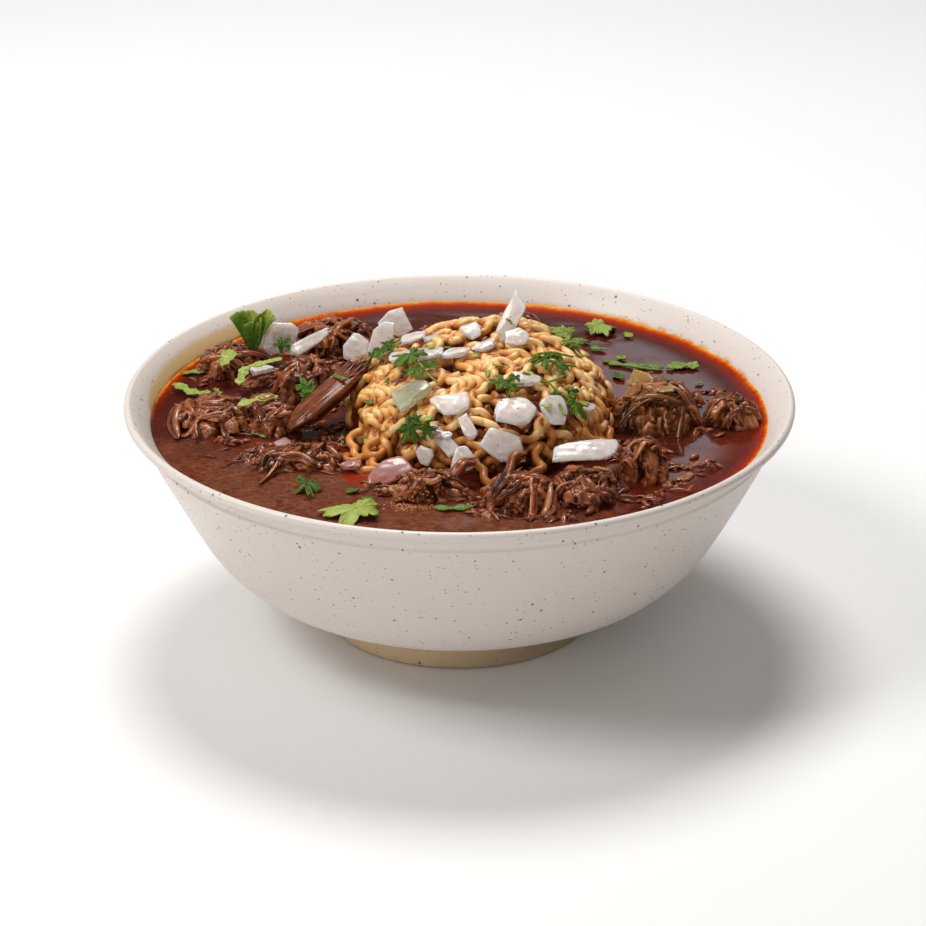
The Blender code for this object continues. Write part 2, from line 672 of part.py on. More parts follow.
def shred(name, start, end, thickness, seed):
    """Spindle of beef fibres between two points, slightly bowed."""
    start, end = Vector(start), Vector(end)
    side = (end - start).cross(Vector((0, 0, 1))).normalized()
    points, radii = [], []
    for i in range(4):
        share = i / 3
        bow = math.sin(math.pi * share)
        points.append(start.lerp(end, share) + side * 1.2 * math.sin(2.6 * i + seed) * bow
                      + Vector((0, 0, SHRED_ARCH * bow)))
        radii.append(thickness * (0.45 + 0.55 * bow) / 2)
    return tube(name, points, radii, 4)


def make_clump(name, seed):
    (x, y), half, rise, turn, count = BEEF_CLUMPS[name]
    draw = random.Random(seed)
    core = lump(name, half, 0.8 * rise, BEEF_DIP, 2.2, 10, 5, 0.45, seed)
    core.matrix_world = (Matrix.Translation(Vector((x, y, BROTH_LEVEL)) * MM)
                         @ Matrix.Rotation(math.radians(turn), 4, "Z"))
    bpy.context.view_layer.update()
    bake(core)
    grain = Vector((math.cos(math.radians(turn)), math.sin(math.radians(turn)), 0))
    across = Vector((-grain.y, grain.x, 0))
    pieces = []
    for i in range(count):
        place = (i + 0.5) / count * 2 - 1
        low = Vector((x, y, BROTH_LEVEL)) + across * half[1] * 0.6 * place
        level = rise * (0.80 - 0.40 * place ** 2)
        reach = half[0] * draw.uniform(0.8, 1.0)
        skew = across * half[1] * draw.uniform(-0.25, 0.25)
        start = low - grain * reach - skew + Vector((0, 0, max(1.6, level - draw.uniform(1.5, 4.5))))
        end = low + grain * reach + skew + Vector((0, 0, max(1.6, level - draw.uniform(0.5, 4.0))))
        pieces.append(shred(f"{name}_shred_{i}", start, end, draw.uniform(3.4, 4.6), i + seed))
    if name in BEEF_LOOSE_SHREDS:
        pieces.append(shred(name + "_loose", *BEEF_LOOSE_SHREDS[name], 4.0, seed))
    return thin_out(combine(core, pieces, "UNION"), CLUMP_FACETS)


def make_slab():
    lower, upper, half_width, half_thickness = BEEF_SLAB
    lower, upper = Vector(lower), Vector(upper)
    length = (upper - lower).length
    slab = lump("beef_slab", (length / 2, half_width), half_thickness, half_thickness, 2.6, 12, 6, 0.3, 21)
    slab.matrix_world = frame_of((lower + upper) / 2, upper - lower, (-0.55, -0.35, 0.75))
    bpy.context.view_layer.update()
    return bake(slab)


# ---------------------------------------------------------------- the whole

def make_floating(broth):
    pieces = []
    for i, (points, width) in enumerate(FLOATING_STRIPS):
        line = [(x, y, BROTH_LEVEL + 0.2) for x, y in points]
        pieces.append(strip(f"floating_{i}", line, width, i, 1))
    return combine(broth, pieces, "UNION")


def build():
    chips = [chip(name, *values, seed) for seed, (name, values) in enumerate(ONIONS.items())]
    for i, piece in enumerate(chips):
        clear_of(piece, chips[:i])
    greens = [leaf(name, *values, seed) for seed, (name, values) in enumerate(LEAVES.items())]
    greens += [strip(name, *values, seed) for seed, (name, values) in enumerate(STRIPS.items())]
    greens.append(make_fan())
    for i, piece in enumerate(greens):
        clear_of(piece, chips + greens[:i])
    toppings = chips + greens
    beef = [make_slab()] + [make_clump(name, seed) for seed, name in enumerate(BEEF_CLUMPS)]
    for i, piece in enumerate(beef):
        clear_of(piece, toppings + beef[:i])
    noodles = clear_of(make_noodles(), toppings + beef)
    broth = clear_of(make_floating(make_broth()), toppings + beef + [noodles])
    bowl = make_bowl()
    materials = {name: make_material(name) for name in COLOURS}
    holder = add_object("birria_ramen_bowl", None)
    for group, name in (([bowl], "bowl"), ([broth], "broth"), ([noodles], "noodles"),
                        (beef, "beef"), (chips, "onion"), (greens, "leaf")):
        for piece in group:
            finish(piece, materials[name], holder)


clear_scene()
PARTS = make_collection("birria_ramen_bowl")
build()
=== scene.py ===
"""Looks of a bowl of birria ramen: a speckled melamine bowl, red oily broth, wavy noodles, pulled
beef, diced onion and chopped cilantro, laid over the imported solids.

Shapes are worked out in millimetres in the frame of the solids, and written to meshes in metres.
"""

import json
import math
import random

import bpy
import numpy as np
from bpy.props import FloatProperty, FloatVectorProperty, IntProperty, PointerProperty
from bpy.types import Operator, Panel, PropertyGroup
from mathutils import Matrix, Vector
from mathutils.bvhtree import BVHTree
from mathutils.kdtree import KDTree

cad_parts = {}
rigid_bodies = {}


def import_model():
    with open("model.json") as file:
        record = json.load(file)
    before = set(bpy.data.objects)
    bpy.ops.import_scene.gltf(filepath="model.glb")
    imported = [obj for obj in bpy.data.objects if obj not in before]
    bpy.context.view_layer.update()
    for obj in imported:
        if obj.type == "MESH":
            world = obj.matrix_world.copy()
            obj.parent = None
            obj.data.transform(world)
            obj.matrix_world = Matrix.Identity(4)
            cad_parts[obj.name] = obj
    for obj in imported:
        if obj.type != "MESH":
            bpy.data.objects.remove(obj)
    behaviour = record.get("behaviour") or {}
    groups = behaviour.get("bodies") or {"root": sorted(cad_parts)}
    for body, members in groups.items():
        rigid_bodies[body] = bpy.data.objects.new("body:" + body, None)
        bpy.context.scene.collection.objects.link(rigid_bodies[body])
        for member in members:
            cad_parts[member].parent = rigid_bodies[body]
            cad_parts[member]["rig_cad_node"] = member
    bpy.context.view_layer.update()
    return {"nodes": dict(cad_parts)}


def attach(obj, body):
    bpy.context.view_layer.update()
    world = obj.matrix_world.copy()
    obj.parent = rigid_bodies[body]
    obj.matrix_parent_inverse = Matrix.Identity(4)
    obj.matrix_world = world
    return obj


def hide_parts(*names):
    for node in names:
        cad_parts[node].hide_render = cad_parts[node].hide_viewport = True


bl_info = {
    "name": "Birria ramen bowl",
    "version": (1, 0, 0),
    "blender": (4, 5, 0),
    "location": "3D View > Sidebar > Ramen",
    "description": "Builds the finished look of a bowl of birria ramen over its solids",
    "category": "Object",
}

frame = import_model()

MM = 0.001

# Bowl profile: radius and height, in millimetres, as all lengths below
RIM_RADIUS = 108.0
BOWL_HEIGHT = 77.3
WALL = 2.7
LIP_ROUND = 1.45
FOOT_RADIUS = 44.6
FOOT_RING = 4.0
FOOT_ROUND = 1.2
BASE_THICKNESS = 3.0
BASE_UNDERSIDE = 9.8
BODY_CURVE = (
    (44.6, 13.2), (53.8, 14.4), (69.1, 19.2), (77.7, 25.9), (84.2, 34.1), (92.2, 48.5), (99.1, 61.9))
COLLAR_BEAD = ((101.3, 67.2), (101.9, 68.2), (101.7, 69.4))
INNER_FLARE = ((99.5, 70.1), (102.9, 74.2))
LIP_UNDERSIDE = ((104.4, 73.0), (102.5, 71.2))
FLOOR_DISH = (28.0, 0.6)          # radius and rise of the dish in the inner floor
AT_AXIS = 0.01

# Broth and the heap of noodles
BROTH_LEVEL = 69.6
BROTH_RADIUS = 99.45
HEAP_CENTRE = (7.5, -3.0)
HEAP_HALF_WIDTH = 40.8
HEAP_HALF_FRONT = 41.8
HEAP_HALF_BACK = 46.0
HEAP_SEAT = 67.6
HEAP_RISE = 23.6
HEAP_DEPTH = 6.0
HEAP_POWER = 2.4
HEAP_CREST = (17.0, 10.0)
HEAP_CREST_RISE = 4.0
HEAP_CREST_SPREAD = 14.0

# Beef clumps: centre, half sizes along and across, rise above the broth, turn in degrees
BEEF_CLUMPS = {
    "beef_back_left": ((-42, 60), (15, 9), 8.0, 10),
    "beef_left_back": ((-75, 40), (12, 10), 6.5, 40),
    "beef_left": ((-79, -5), (14, 12), 6.0, -20),
    "beef_left_inner": ((-59, -10), (8, 9), 6.5, -15),
    "beef_mid_left": ((-50, 20), (12, 9), 10.0, 60),
    "beef_front_left": ((-51, -38), (14, 9), 3.5, 8),
    "beef_front": ((-9, -62), (12, 7), 6.0, -10),
    "beef_front_mid": ((18, -67), (12, 10), 7.0, 15),
    "beef_front_right": ((38, -63), (10, 9), 7.0, -20),
    "beef_upright": ((57, -49), (7, 7), 12.0, 80),
    "beef_right": ((64, -4), (16, 13), 11.0, 70),
    "beef_far_right": ((87, -4), (9, 7.5), 6.5, -15),
    "beef_back": ((21, 77), (8, 4.5), 4.5, 0),
}
BEEF_SLAB = ((-54, -21, 73.5), (-29, 9, 86), 6.0, 3.2)
BEEF_LOOSE_SHREDS = {
    "beef_front": ((-3, -60, 74), (5, -55, 77)),
    "beef_front_mid": ((14, -60, 74.5), (20, -53, 79)),
}

# Diced onion: centre, size (long, across, thick), direction of the long side, direction it faces,
# tone (0 white, 1 lilac-pink from the broth, 2 glassy green)
ONIONS = {
    "onion_top_shard": ((16, 7, 99), (17, 6, 3.2), (8, 9, 11), (-4, -9, 7), 0.1),
    "onion_back_round": ((-21, 22, 92.5), (11, 9, 3.8), (1, 0, 0.2), (0, -8, 4), 0.0),
    "onion_back_upright": ((-25, 14, 90), (7.5, 12, 3.8), (1, 0, -0.1), (-2, -9, 3), 0.0),
    "onion_back_flat": ((-15, 9, 93), (8.5, 7, 3.2), (1, 0, 0), None, 0.0),
    "onion_long_top": ((-14, -8, 94), (18, 7, 3.0), (1, -0.15, 0), None, 0.1),
    "onion_top_bright": ((4, 3, 97.5), (7, 6.5, 3.2), (1, 0.6, 0.1), (0, -4, 9), 0.0),
    "onion_top_left": ((-1, -10, 95.5), (7, 6, 3.0), (1, -0.4, 0), None, 0.0),
    "onion_top_mid": ((8, -8, 97), (8.5, 4.5, 3.0), (1, 0.5, 0), None, 0.0),
    "onion_top_right": ((18, -5, 98.5), (9, 6.5, 3.2), (1, 0.4, 0), (0, -5, 9), 0.0),
    "onion_slab_top": ((-34, 22, 84), (9.5, 9.5, 3.4), (1, 0, -0.15), (-3, -9, 4), 0.3),
    "onion_glassy": ((-15, -30, 90), (12.5, 11.5, 4.0), (9, 3, 4), None, 2.0),
    "onion_front_upper": ((-3, -38, 89.5), (12.5, 8.5, 3.8), (1, 0, -0.1), None, 0.0),
    "onion_front_strip": ((-5, -45.5, 81), (13, 5.0, 3.0), (8.5, -4, -10), None, 0.0),
    "onion_front_small": ((2.5, -46, 85), (8.5, 4.2, 3.2), (4, -2, -7), None, 0.0),
    "onion_front_bright": ((12.5, -49, 80.5), (14, 11, 4.0), (1, 0, 0.1), None, 0.0),
    "onion_right_large": ((17.5, -41.5, 89), (12.5, 10.5, 4.0), (1, -0.1, -0.15), None, 0.0),
    "onion_right_pair": ((29.5, -37.5, 87.5), (9, 11, 3.6), (1, 0.2, 0), None, 0.0),
    "onion_right_back": ((21, -28, 93.5), (9, 6, 3.0), (1, 0, 0), None, 0.1),
    "onion_low_square": ((-11, -47.5, 76), (6.5, 5.5, 3.0), (1, 0, -0.3), None, 0.4),
    "onion_pink_large": ((-22, -51, 72.5), (14, 9, 3.4), (1, 0.3, 0.3), (-1, -4, 8), 1.0),
    "onion_pink_small": ((-34, -44.5, 71.5), (6.5, 5, 3.2), (1, 0, 0), (0, 0, 1), 0.8),
    "onion_front_low": ((2, -53.5, 77.5), (8, 8, 3.8), (1, -0.3, -0.2), (0, -8, 6), 0.1),
    "onion_long_right": ((39, -48.5, 78.5), (20, 8, 3.4), (1, 0.08, 0), (0, -4, 9), 0.5),
    "onion_left_upright": ((-60, 45, 78), (11.5, 10.5, 3.4), (1, 0, 0), (0.5, -9, 3), 0.2),
    "onion_left_sliver": ((-50, 38, 79.5), (15, 4.5, 3.0), (13, 5, 5.5), (-2, -7, 7), 0.2),
    "onion_left_low": ((-65, 26, 75), (8, 6, 3.0), (1, 0.2, 0), (0, 0, 1), 0.6),
}
CHIP_BEND = 30.0                  # radius to which a piece is bent
CHIP_UNEVEN = 0.35
CHIP_THIN = 0.66
ONION_CLEARNESS = {"white": 0.42, "pink": 0.42, "glassy": 0.68, "amber": 0.45}

# Cilantro leaves: centre, size, direction of the tip, facing direction, stem end, lightness 0 to 1
LEAVES = {
    "leaf_glassy": ((-15, -14, 95.5), (12, 12), (-1, 0.6, 0.2), None, (-7, -28, 92.5), 0.3),
    "leaf_front_dark": ((-15, -42.5, 83), (11, 9), (-0.6, -0.4, -1), None, (-8, -44.5, 87), 0.1),
    "leaf_back_right": ((34, 12, 93), (10, 9), (-1, 0.4, 0.1), (0, -2, 8), (39, -1, 90), 0.7),
    "leaf_right_upper": ((27, -17, 95.5), (10, 8), (-1, -0.6, 0), None, (37, -15, 92.5), 0.2),
    "leaf_right_edge": ((14, -32, 94), (9, 7), (-1, 0.1, -0.2), None, (20, -34, 94.5), 0.3),
    "leaf_right_sprig": ((36, -31, 86), (10, 8), (0.6, -0.3, -1), None, (28, -27, 92), 0.3),
    "leaf_back_dark": ((-25, 1, 91), (11, 8), (-0.5, -0.4, -0.5), None, (-19, 5, 94), 0.1),
    "leaf_mid_left": ((-49, -1, 79.5), (8, 7), (-0.4, 0.6, 0.4), (0, -5, 8), (-47, -9, 76.5), 0.3),
    "leaf_light_front": ((-31, -77, 71.0), (20, 17), (-1, -0.1, 0), (0, 0, 1), None, 0.9),
    "leaf_dark_float": ((-47, -58, 71.0), (14, 8), (0.2, -1, 0), (0, 0, 1), None, 0.1),
    "leaf_back_float": ((47, 72, 71.2), (12, 13), (1, 0.2, 0), (0, 0, 1), None, 0.8),
    "leaf_left_dark": ((-59, 36, 79), (7, 6), (0.6, 0.2, 0.6), (0, -6, 6), None, 0.2),
}
STRIPS = {
    "strip_light_long": (((-72, 15, 73.5), (-70, 21, 76.5), (-65, 22, 78), (-58, 24, 79)), 3.2, 0.9),
    "strip_left_fold": (((-77, 33, 78.5), (-76, 28, 78.5), (-78, 24, 76.5)), 4.6, 0.9),
    "strip_chain": (((-93.5, 22, 71.2), (-90, 17, 71.2), (-86, 13.5, 71.2), (-81, 12, 72)), 3.6, 0.8),
    "strip_yellow": (((-71, -11, 77), (-65, -8, 77.8), (-58, -5, 77.8)), 3.4, 1.0),
}
FLOATING_STRIPS = (
    (((-92, 33), (-87, 35), (-81, 36)), 3.0, 0.6),
    (((48, 45), (54, 41), (62, 40), (68, 38)), 2.4, 0.4),
    (((69, 38), (75, 40), (80, 39)), 4.5, 0.6),
    (((-8, -73), (-2, -74), (5, -72)), 2.6, 0.4),
)
FAN_FOOT = (-68.5, 41, 75.6)
FAN_LOBES = (             # height, half width, lean to the side, lean back, how far it cups, lightness
    (12.6, 5.6, -2.4, 3.4, 2.6, 0.42),
    (12.9, 3.6, 4.4, 2.2, 1.8, 0.48),
    (9.4, 4.4, 0.4, 0.4, -2.0, 0.22))


# ---------------------------------------------------------------- settings

def colour_setting(name, description, default):
    return FloatVectorProperty(name=name, description=description, subtype="COLOR", default=default)


def length_setting(name, description, default):
    return FloatProperty(name=name, description=description, unit="LENGTH", default=default)


class BowlSettings(PropertyGroup):
    steps: IntProperty(name="Steps", description="Facets round the bowl", default=192, min=24)
    body: colour_setting("Body", "Colour of the melamine", (0.712, 0.640, 0.590))
    # Foot: painted shade and warm reflected light low on the foot
    foot: colour_setting("Foot", "Colour that the body takes low on the foot", (0.50, 0.37, 0.22))
    speck: colour_setting("Specks", "Colour of the specks", (0.085, 0.10, 0.14))
    speck_spacing: length_setting("Speck spacing", "Distance between the fine specks", 0.0020)
    stain: colour_setting("Oil stain", "Colour of the oil that dried on the wall", (0.60, 0.37, 0.09))


class BrothSettings(PropertyGroup):
    deep: colour_setting("Deep", "Colour of the broth at the back and right", (0.062, 0.0095, 0.006))
    cloudy: colour_setting("Cloudy", "Colour of the cloudy broth at the front left", (0.135, 0.042, 0.020))
    chilli: colour_setting("Chilli oil", "Colour of the oil near the beef", (0.150, 0.021, 0.004))
    rim_oil: colour_setting("Rim oil", "Colour of the oil ring along the wall", (0.33, 0.021, 0.002))
    rim_width: length_setting("Rim width", "Width of the oil ring", 0.0076)


class NoodleSettings(PropertyGroup):
    thickness: length_setting("Thickness", "Thickness of one noodle", 0.00255)
    wave_length: length_setting("Wave", "Length of one wave", 0.0084)
    wave_side: length_setting("Wave depth", "How far a wave swings to each side", 0.0019)
    bundles: IntProperty(name="Bundles", description="Most bundles of noodles in the heap", default=62)
    fresh: colour_setting("Fresh", "Colour on top of the heap", (0.75, 0.355, 0.088))
    # Soaked: broth colour low in the heap, and painted shade in its gaps
    soaked: colour_setting("Soaked", "Colour low in the heap", (0.13, 0.027, 0.003))


class BeefSettings(PropertyGroup):
    fibre: length_setting("Fibre", "Thickness of a loose fibre", 0.0008)
    # Dark shows in the grooves and creases, where it is partly painted shade
    dark: colour_setting("Dark", "Colour between the fibres", (0.020, 0.005, 0.003))
    light: colour_setting("Light", "Colour of the fibres", (0.300, 0.076, 0.021))


class OnionSettings(PropertyGroup):
    edge_power: FloatProperty(
        name="Edge", description="How square the cut edges are", default=18.0, min=2.0)
    white: colour_setting("White", "Colour of clean onion", (0.95, 0.885, 0.83))
    pink: colour_setting("Pink", "Colour of onion that took up broth", (0.60, 0.36, 0.34))
    glassy: colour_setting("Glassy", "Colour of thin glassy onion", (0.66, 0.70, 0.50))
    amber: colour_setting("Amber", "Colour of onion cooked in the broth", (0.52, 0.30, 0.085))


class CilantroSettings(PropertyGroup):
    thickness: length_setting("Thickness", "Thickness of a leaf", 0.0003)
    dark: colour_setting("Dark", "Colour of the upper side", (0.038, 0.090, 0.004))
    light: colour_setting("Light", "Colour of pale pieces and the underside", (0.34, 0.40, 0.075))


class StageSettings(PropertyGroup):
    camera_distance: length_setting("Distance", "From the camera to the bowl's axis", 1.152)
    camera_elevation: FloatProperty(
        name="Elevation", description="Angle of the camera above the table", subtype="ANGLE",
        default=math.radians(24.58))
    floor: colour_setting("Floor", "Colour of the floor", (0.90, 0.90, 0.90))
    window_power: FloatProperty(
        name="Window", description="Power of the large soft light", unit="POWER", default=9.0)


SETTINGS = {
    "bowl": BowlSettings, "broth": BrothSettings, "noodles": NoodleSettings, "beef": BeefSettings,
    "onion": OnionSettings, "cilantro": CilantroSettings, "stage": StageSettings,
}


# ---------------------------------------------------------------- finishes

def sums(operation):
    """The method of a socket for this sum, and its reflected form."""
    def method(first, second):
        finish = (first if isinstance(first, Socket) else second).finish
        return finish.node("ShaderNodeMath", {"operation": operation}, {0: first, 1: second})
    return method, lambda second, first: method(first, second)


class Socket:
    """An output in a finish that takes part in sums as a number does, on either side."""

    def __init__(self, finish, output):
        self.finish = finish
        self.output = output

    __add__, __radd__ = sums("ADD")
    __sub__, __rsub__ = sums("SUBTRACT")
    __mul__, __rmul__ = sums("MULTIPLY")
    __truediv__, __rtruediv__ = sums("DIVIDE")
    __pow__, __rpow__ = sums("POWER")


class Finish:
    """A material that is put together node by node."""

    def __init__(self, name, **constants):
        self.material = bpy.data.materials.new(name)
        self.material.use_nodes = True
        self.tree = self.material.node_tree
        self.shader = self.tree.nodes["Principled BSDF"]
        self.surface(**constants)

    def feed(self, socket, value):
        if isinstance(value, Socket):
            self.tree.links.new(value.output, socket)
        else:
            socket.default_value = value

    def node(self, kind, settings, sockets, output=0):
        """Add a node: its settings are set first, then the values or links of its sockets."""
        node = self.tree.nodes.new(kind)
        for name, value in settings.items():
            if name == "stops":
                while len(node.color_ramp.elements) < len(value):
                    node.color_ramp.elements.new(1.0)
                for element, (position, colour) in zip(node.color_ramp.elements, value):
                    element.position = position
                    element.color = (*colour, 1.0)
            else:
                setattr(node, name, value)
        for name, value in sockets.items():
            self.feed(node.inputs[name], value)
        return Socket(self, node.outputs[output])

    def place(self):
        """The point on the object, in millimetres."""
        spot = self.node("ShaderNodeTexCoord", {}, {}, "Object")
        return self.scaled(spot, (1000, 1000, 1000))

    def scaled(self, vector, factors):
        return self.node("ShaderNodeVectorMath", {"operation": "MULTIPLY"}, {0: vector, 1: factors})

    def split(self, vector):
        return [self.node("ShaderNodeSeparateXYZ", {}, {0: vector}, axis) for axis in range(3)]

    def data(self, name):
        """What a mesh holds on its points under that name."""
        return self.node("ShaderNodeAttribute", {"attribute_name": name}, {}, "Vector")

    def clouds(self, vector, spacing, detail=3.0, roughness=0.55, distortion=0.0):
        """Soft patches from 0 to 1, about the spacing apart."""
        return self.node("ShaderNodeTexNoise", {}, {
            "Vector": vector, "Scale": 1 / spacing, "Detail": detail, "Roughness": roughness,
            "Distortion": distortion})

    def dots(self, vector, spacing, radius, share, soft=0.12):
        """Round dots: 1 inside, 0 between them; only a share of the cells has one."""
        cell = {"feature": "F1"}
        sockets = {"Vector": vector, "Scale": 1 / spacing, "Randomness": 1.0}
        distance = self.node("ShaderNodeTexVoronoi", cell, sockets, "Distance")
        draw = self.split(self.node("ShaderNodeTexVoronoi", cell, sockets, "Color"))
        size = (draw[0] * 0.8 + 0.35) * (radius / spacing)
        inside = self.fade(size - distance, 0, soft * radius / spacing)
        return inside * self.fade(draw[1], 1 - share, 1 - share + 0.02)

    def fade(self, value, low, high):
        """0 below the low value, 1 above the high one."""
        return self.node("ShaderNodeMapRange", {"interpolation_type": "SMOOTHSTEP"}, {
            "Value": value, "From Min": low, "From Max": high, "To Min": 0.0, "To Max": 1.0})

    def blend(self, share, first, second):
        colours = [part if isinstance(part, Socket) else (*part, 1.0) for part in (first, second)]
        return self.node("ShaderNodeMix", {"data_type": "RGBA", "clamp_factor": True},
                         {0: share, 6: colours[0], 7: colours[1]}, 2)

    def layered(self, colour, *layers):
        """The colour with layers over it; each is how much of it shows, 0 to 1, and its colour."""
        for share, layer in layers:
            colour = self.blend(share, colour, layer)
        return colour

    def ramp(self, value, *stops):
        return self.node("ShaderNodeValToRGB", {"stops": stops}, {0: value})

    def bump(self, height, depth, under=None):
        """Relief of that depth, in millimetres, for a height from 0 to 1."""
        sockets = {"Strength": 1.0, "Distance": depth * MM, "Height": height}
        if under:
            sockets["Normal"] = under
        return self.node("ShaderNodeBump", {}, sockets)

    def surface(self, **sockets):
        """Give the shader's own sockets their values or links."""
        for name, value in sockets.items():
            self.feed(self.shader.inputs[name.replace("_", " ").title().replace("Ior", "IOR")], value)
        return self.material


def lighter(colour, factor):
    """The colour times a factor."""
    return tuple(min(1.0, part * factor) for part in colour)


def plan_distance(x, y, spot=None):
    """Distance in plan from the bowl's axis, or from a spot."""
    if spot:
        x, y = x - spot[0], y - spot[1]
    return (x * x + y * y) ** 0.5


FOOT_SHADE_TOP = 12.5             # height at which the shade of the foot ends
FRINGE_ORANGE = (0.66, 0.16, 0.008)
STAIN_BROWN = (0.30, 0.12, 0.02)


def bowl_finish(settings):
    """Speckled melamine; the mesh marks its inner side with 1."""
    finish = Finish("speckled_melamine", coat_weight=0.10, coat_roughness=0.20, ior=1.48)
    place = finish.place()
    x, y, z = finish.split(place)
    radius = plan_distance(x, y)
    body, foot, speck = settings.body, settings.foot, settings.speck
    spacing = settings.speck_spacing / MM
    # Painted shade and warm reflected light low on the foot: lighter on the left, where the light falls,
    # darker to the right
    foot_shade_share = finish.fade(FOOT_SHADE_TOP - z, 0.0, 6.0) * finish.fade(radius, 36.0, 40.0)
    foot_shade = finish.blend(
        finish.fade(x - z * 4.0, -45.0, 15.0), lighter(foot, 1.45), lighter(foot, 0.80))
    # Dried oil on the inner wall: high at the left back, faint at the right back, a fringe elsewhere
    inside, _, _ = finish.split(finish.data("side"))
    height = z - BROTH_LEVEL + (finish.clouds(place, 9.0) - 0.5) * 2.0
    left = finish.fade((y * 0.42 - x * 0.91) / radius, 0.86, 0.97)
    right = finish.fade((y * 0.72 + x * 0.69) / radius, 0.80, 0.98)
    fringe = finish.fade((y * 0.86 + x * 0.5) / radius, -0.62, 0.05)
    broken = finish.fade(finish.clouds(place, 5.0), 0.42, 0.60)
    reach = left * 4.6 + fringe * 0.9 + right * 1.6 * broken
    stained = finish.fade(reach - height, 0.0, 2.2) * finish.fade(reach, 0.25, 0.6) * inside
    near = finish.fade(1.2 - height, 0.0, 1.1)
    stain = finish.blend(near, settings.stain, finish.blend(left, FRINGE_ORANGE, STAIN_BROWN))
    colour = finish.layered(
        body,
        (finish.clouds(place, 40.0) * 0.5, lighter(body, 0.94)),
        (foot_shade_share, foot_shade),
        (stained * (0.78 + near * 0.22), stain),
        (finish.dots(place, spacing * 1.25, 0.62, 0.50, 0.80) * 0.30, lighter(speck, 2.6)),
        (finish.dots(place, spacing, 0.42, 0.85, 0.35) * 0.72, lighter(speck, 1.9)),
        (finish.dots(place, spacing * 1.6, 0.58, 0.45, 0.35) * 0.92, speck))
    return finish.surface(base_color=colour, roughness=finish.clouds(place, 14.0) * 0.12 + 0.36,
                          normal=finish.bump(finish.clouds(place, 5.0, 2.0), 0.03))


DULL_RED = (0.115, 0.016, 0.009)
WARM_RED = (0.135, 0.016, 0.002)
BRIGHT_OIL = (0.27, 0.022, 0.004)
RING_YELLOW = (0.70, 0.30, 0.020)
RING_ORANGE = (0.56, 0.11, 0.004)
RING_RED = (0.18, 0.011, 0.002)
RING_BROWN = (0.070, 0.010, 0.005)
SPICE_BROWN = (0.012, 0.004, 0.003)
BRIGHT_SPOTS = (                  # bright oil at the front foot of the noodles: place in plan, size
    ((-30, -47), 9.0), ((-4, -56), 7.0), ((16, -58), 8.0), ((58, -38), 7.0), ((-62, -12), 7.0))


def oil_ring(finish, settings, place):
    """Ring of oil along the wall, wide at the back, thin at the right and front: its share and colour."""
    x, y, _ = finish.split(place)
    radius = plan_distance(x, y)
    share = finish.fade((y * 0.80 + x * 0.60) / radius, -0.50, 0.20)
    share = share + (1 - share) * finish.fade((y * 0.95 - x * 0.30) / radius, 0.0, 0.7) * 0.4
    uneven = (finish.clouds(place, 12.0) - 0.5) * 2.2 + (finish.clouds(place, 2.0) - 0.5) * 1.6
    width = settings.rim_width / MM * (share * (0.52 + 0.42 * finish.fade(y, 0.0, 90.0)) + 0.25)
    inwards = (BROTH_RADIUS - radius + uneven) / width
    ring = finish.ramp(inwards, (0.0, RING_YELLOW), (0.08, RING_ORANGE), (0.22, settings.rim_oil),
                       (0.46, RING_RED), (1.0, RING_BROWN))
    return finish.fade(1.15 - inwards, 0.0, 0.4) * finish.fade(share, 0.02, 0.4), ring


def broth_finish(settings):
    """Broth that is cloudy at the front left, and deep red to the back and right."""
    finish = Finish("red_broth", ior=1.36, specular_ior_level=0.02, coat_ior=1.36, coat_roughness=0.09)
    place = finish.place()
    x, y, _ = finish.split(place)
    radius = plan_distance(x, y)
    cloudy, deep = settings.cloudy, settings.deep
    patches = finish.clouds(place, 26.0, 4.0, 0.6, 0.8)
    side = finish.fade(-0.38 * x - 0.92 * y + (patches - 0.5) * 40.0, 42.0, 68.0)
    streaks = finish.clouds(place, 7.0, 6.0, 0.62, 1.2)
    fine = finish.clouds(place, 1.6, 4.0, 0.65, 0.6)
    grains = finish.clouds(finish.scaled(place, (0.45, 1.0, 1.0)), 1.1, 5.0, 0.75, 0.4)
    reddish = finish.fade(finish.clouds(place, 11.0, 5.0, 0.65, 2.0), 0.50, 0.62) * side
    warm = finish.fade(x * 0.45 - y * 0.90 + (streaks - 0.5) * 60.0, 15.0, 70.0) * (1 - side)
    oily = finish.clouds(place, 17.0, 4.0, 0.6, 1.4)
    centre = finish.fade(88.0 - radius, 0.0, 18.0)
    colour = finish.layered(
        deep,
        (side, cloudy),
        (finish.fade(streaks, 0.46, 0.66) * (0.14 + side * 0.40), lighter(cloudy, 1.7)),
        (finish.fade(grains, 0.46, 0.66) * side * 0.75, lighter(cloudy, 1.9)),
        (reddish * 0.55, DULL_RED),
        (finish.fade(fine, 0.47, 0.66) * 0.65, lighter(deep, 0.8)),
        (warm * finish.fade(patches, 0.40, 0.62) * 0.75, WARM_RED),
        (finish.fade(oily, 0.48, 0.62) * centre * 0.8, settings.chilli))
    for spot, size in BRIGHT_SPOTS:
        near = size - plan_distance(x, y, spot) + (oily - 0.5) * 22.0 + (streaks - 0.5) * 10.0
        colour = finish.blend(finish.fade(near, 0.0, 7.0) * 0.75, colour, BRIGHT_OIL)
    colour = finish.layered(colour, oil_ring(finish, settings, place),
                            (finish.dots(place, 2.0, 0.26, 0.4, 0.4) * 0.8, SPICE_BROWN))
    edge = finish.fade(radius, BROTH_RADIUS - 17.0, BROTH_RADIUS - 7.0)
    roughness = 0.10 + finish.fade(streaks, 0.35, 0.8) * 0.10 + side * 0.22 + edge * 0.10
    relief = finish.bump(finish.clouds(place, 5.0, 3.0, 0.6), 0.035)
    relief = finish.bump(finish.dots(place, 4.0, 1.2, 0.3, 0.9), 0.05, relief)
    relief = finish.bump(grains * side, 0.16, relief)
    return finish.surface(base_color=colour, roughness=roughness, normal=relief,
                          coat_weight=(0.66 - side * 0.25) * (1 - edge * 0.95))
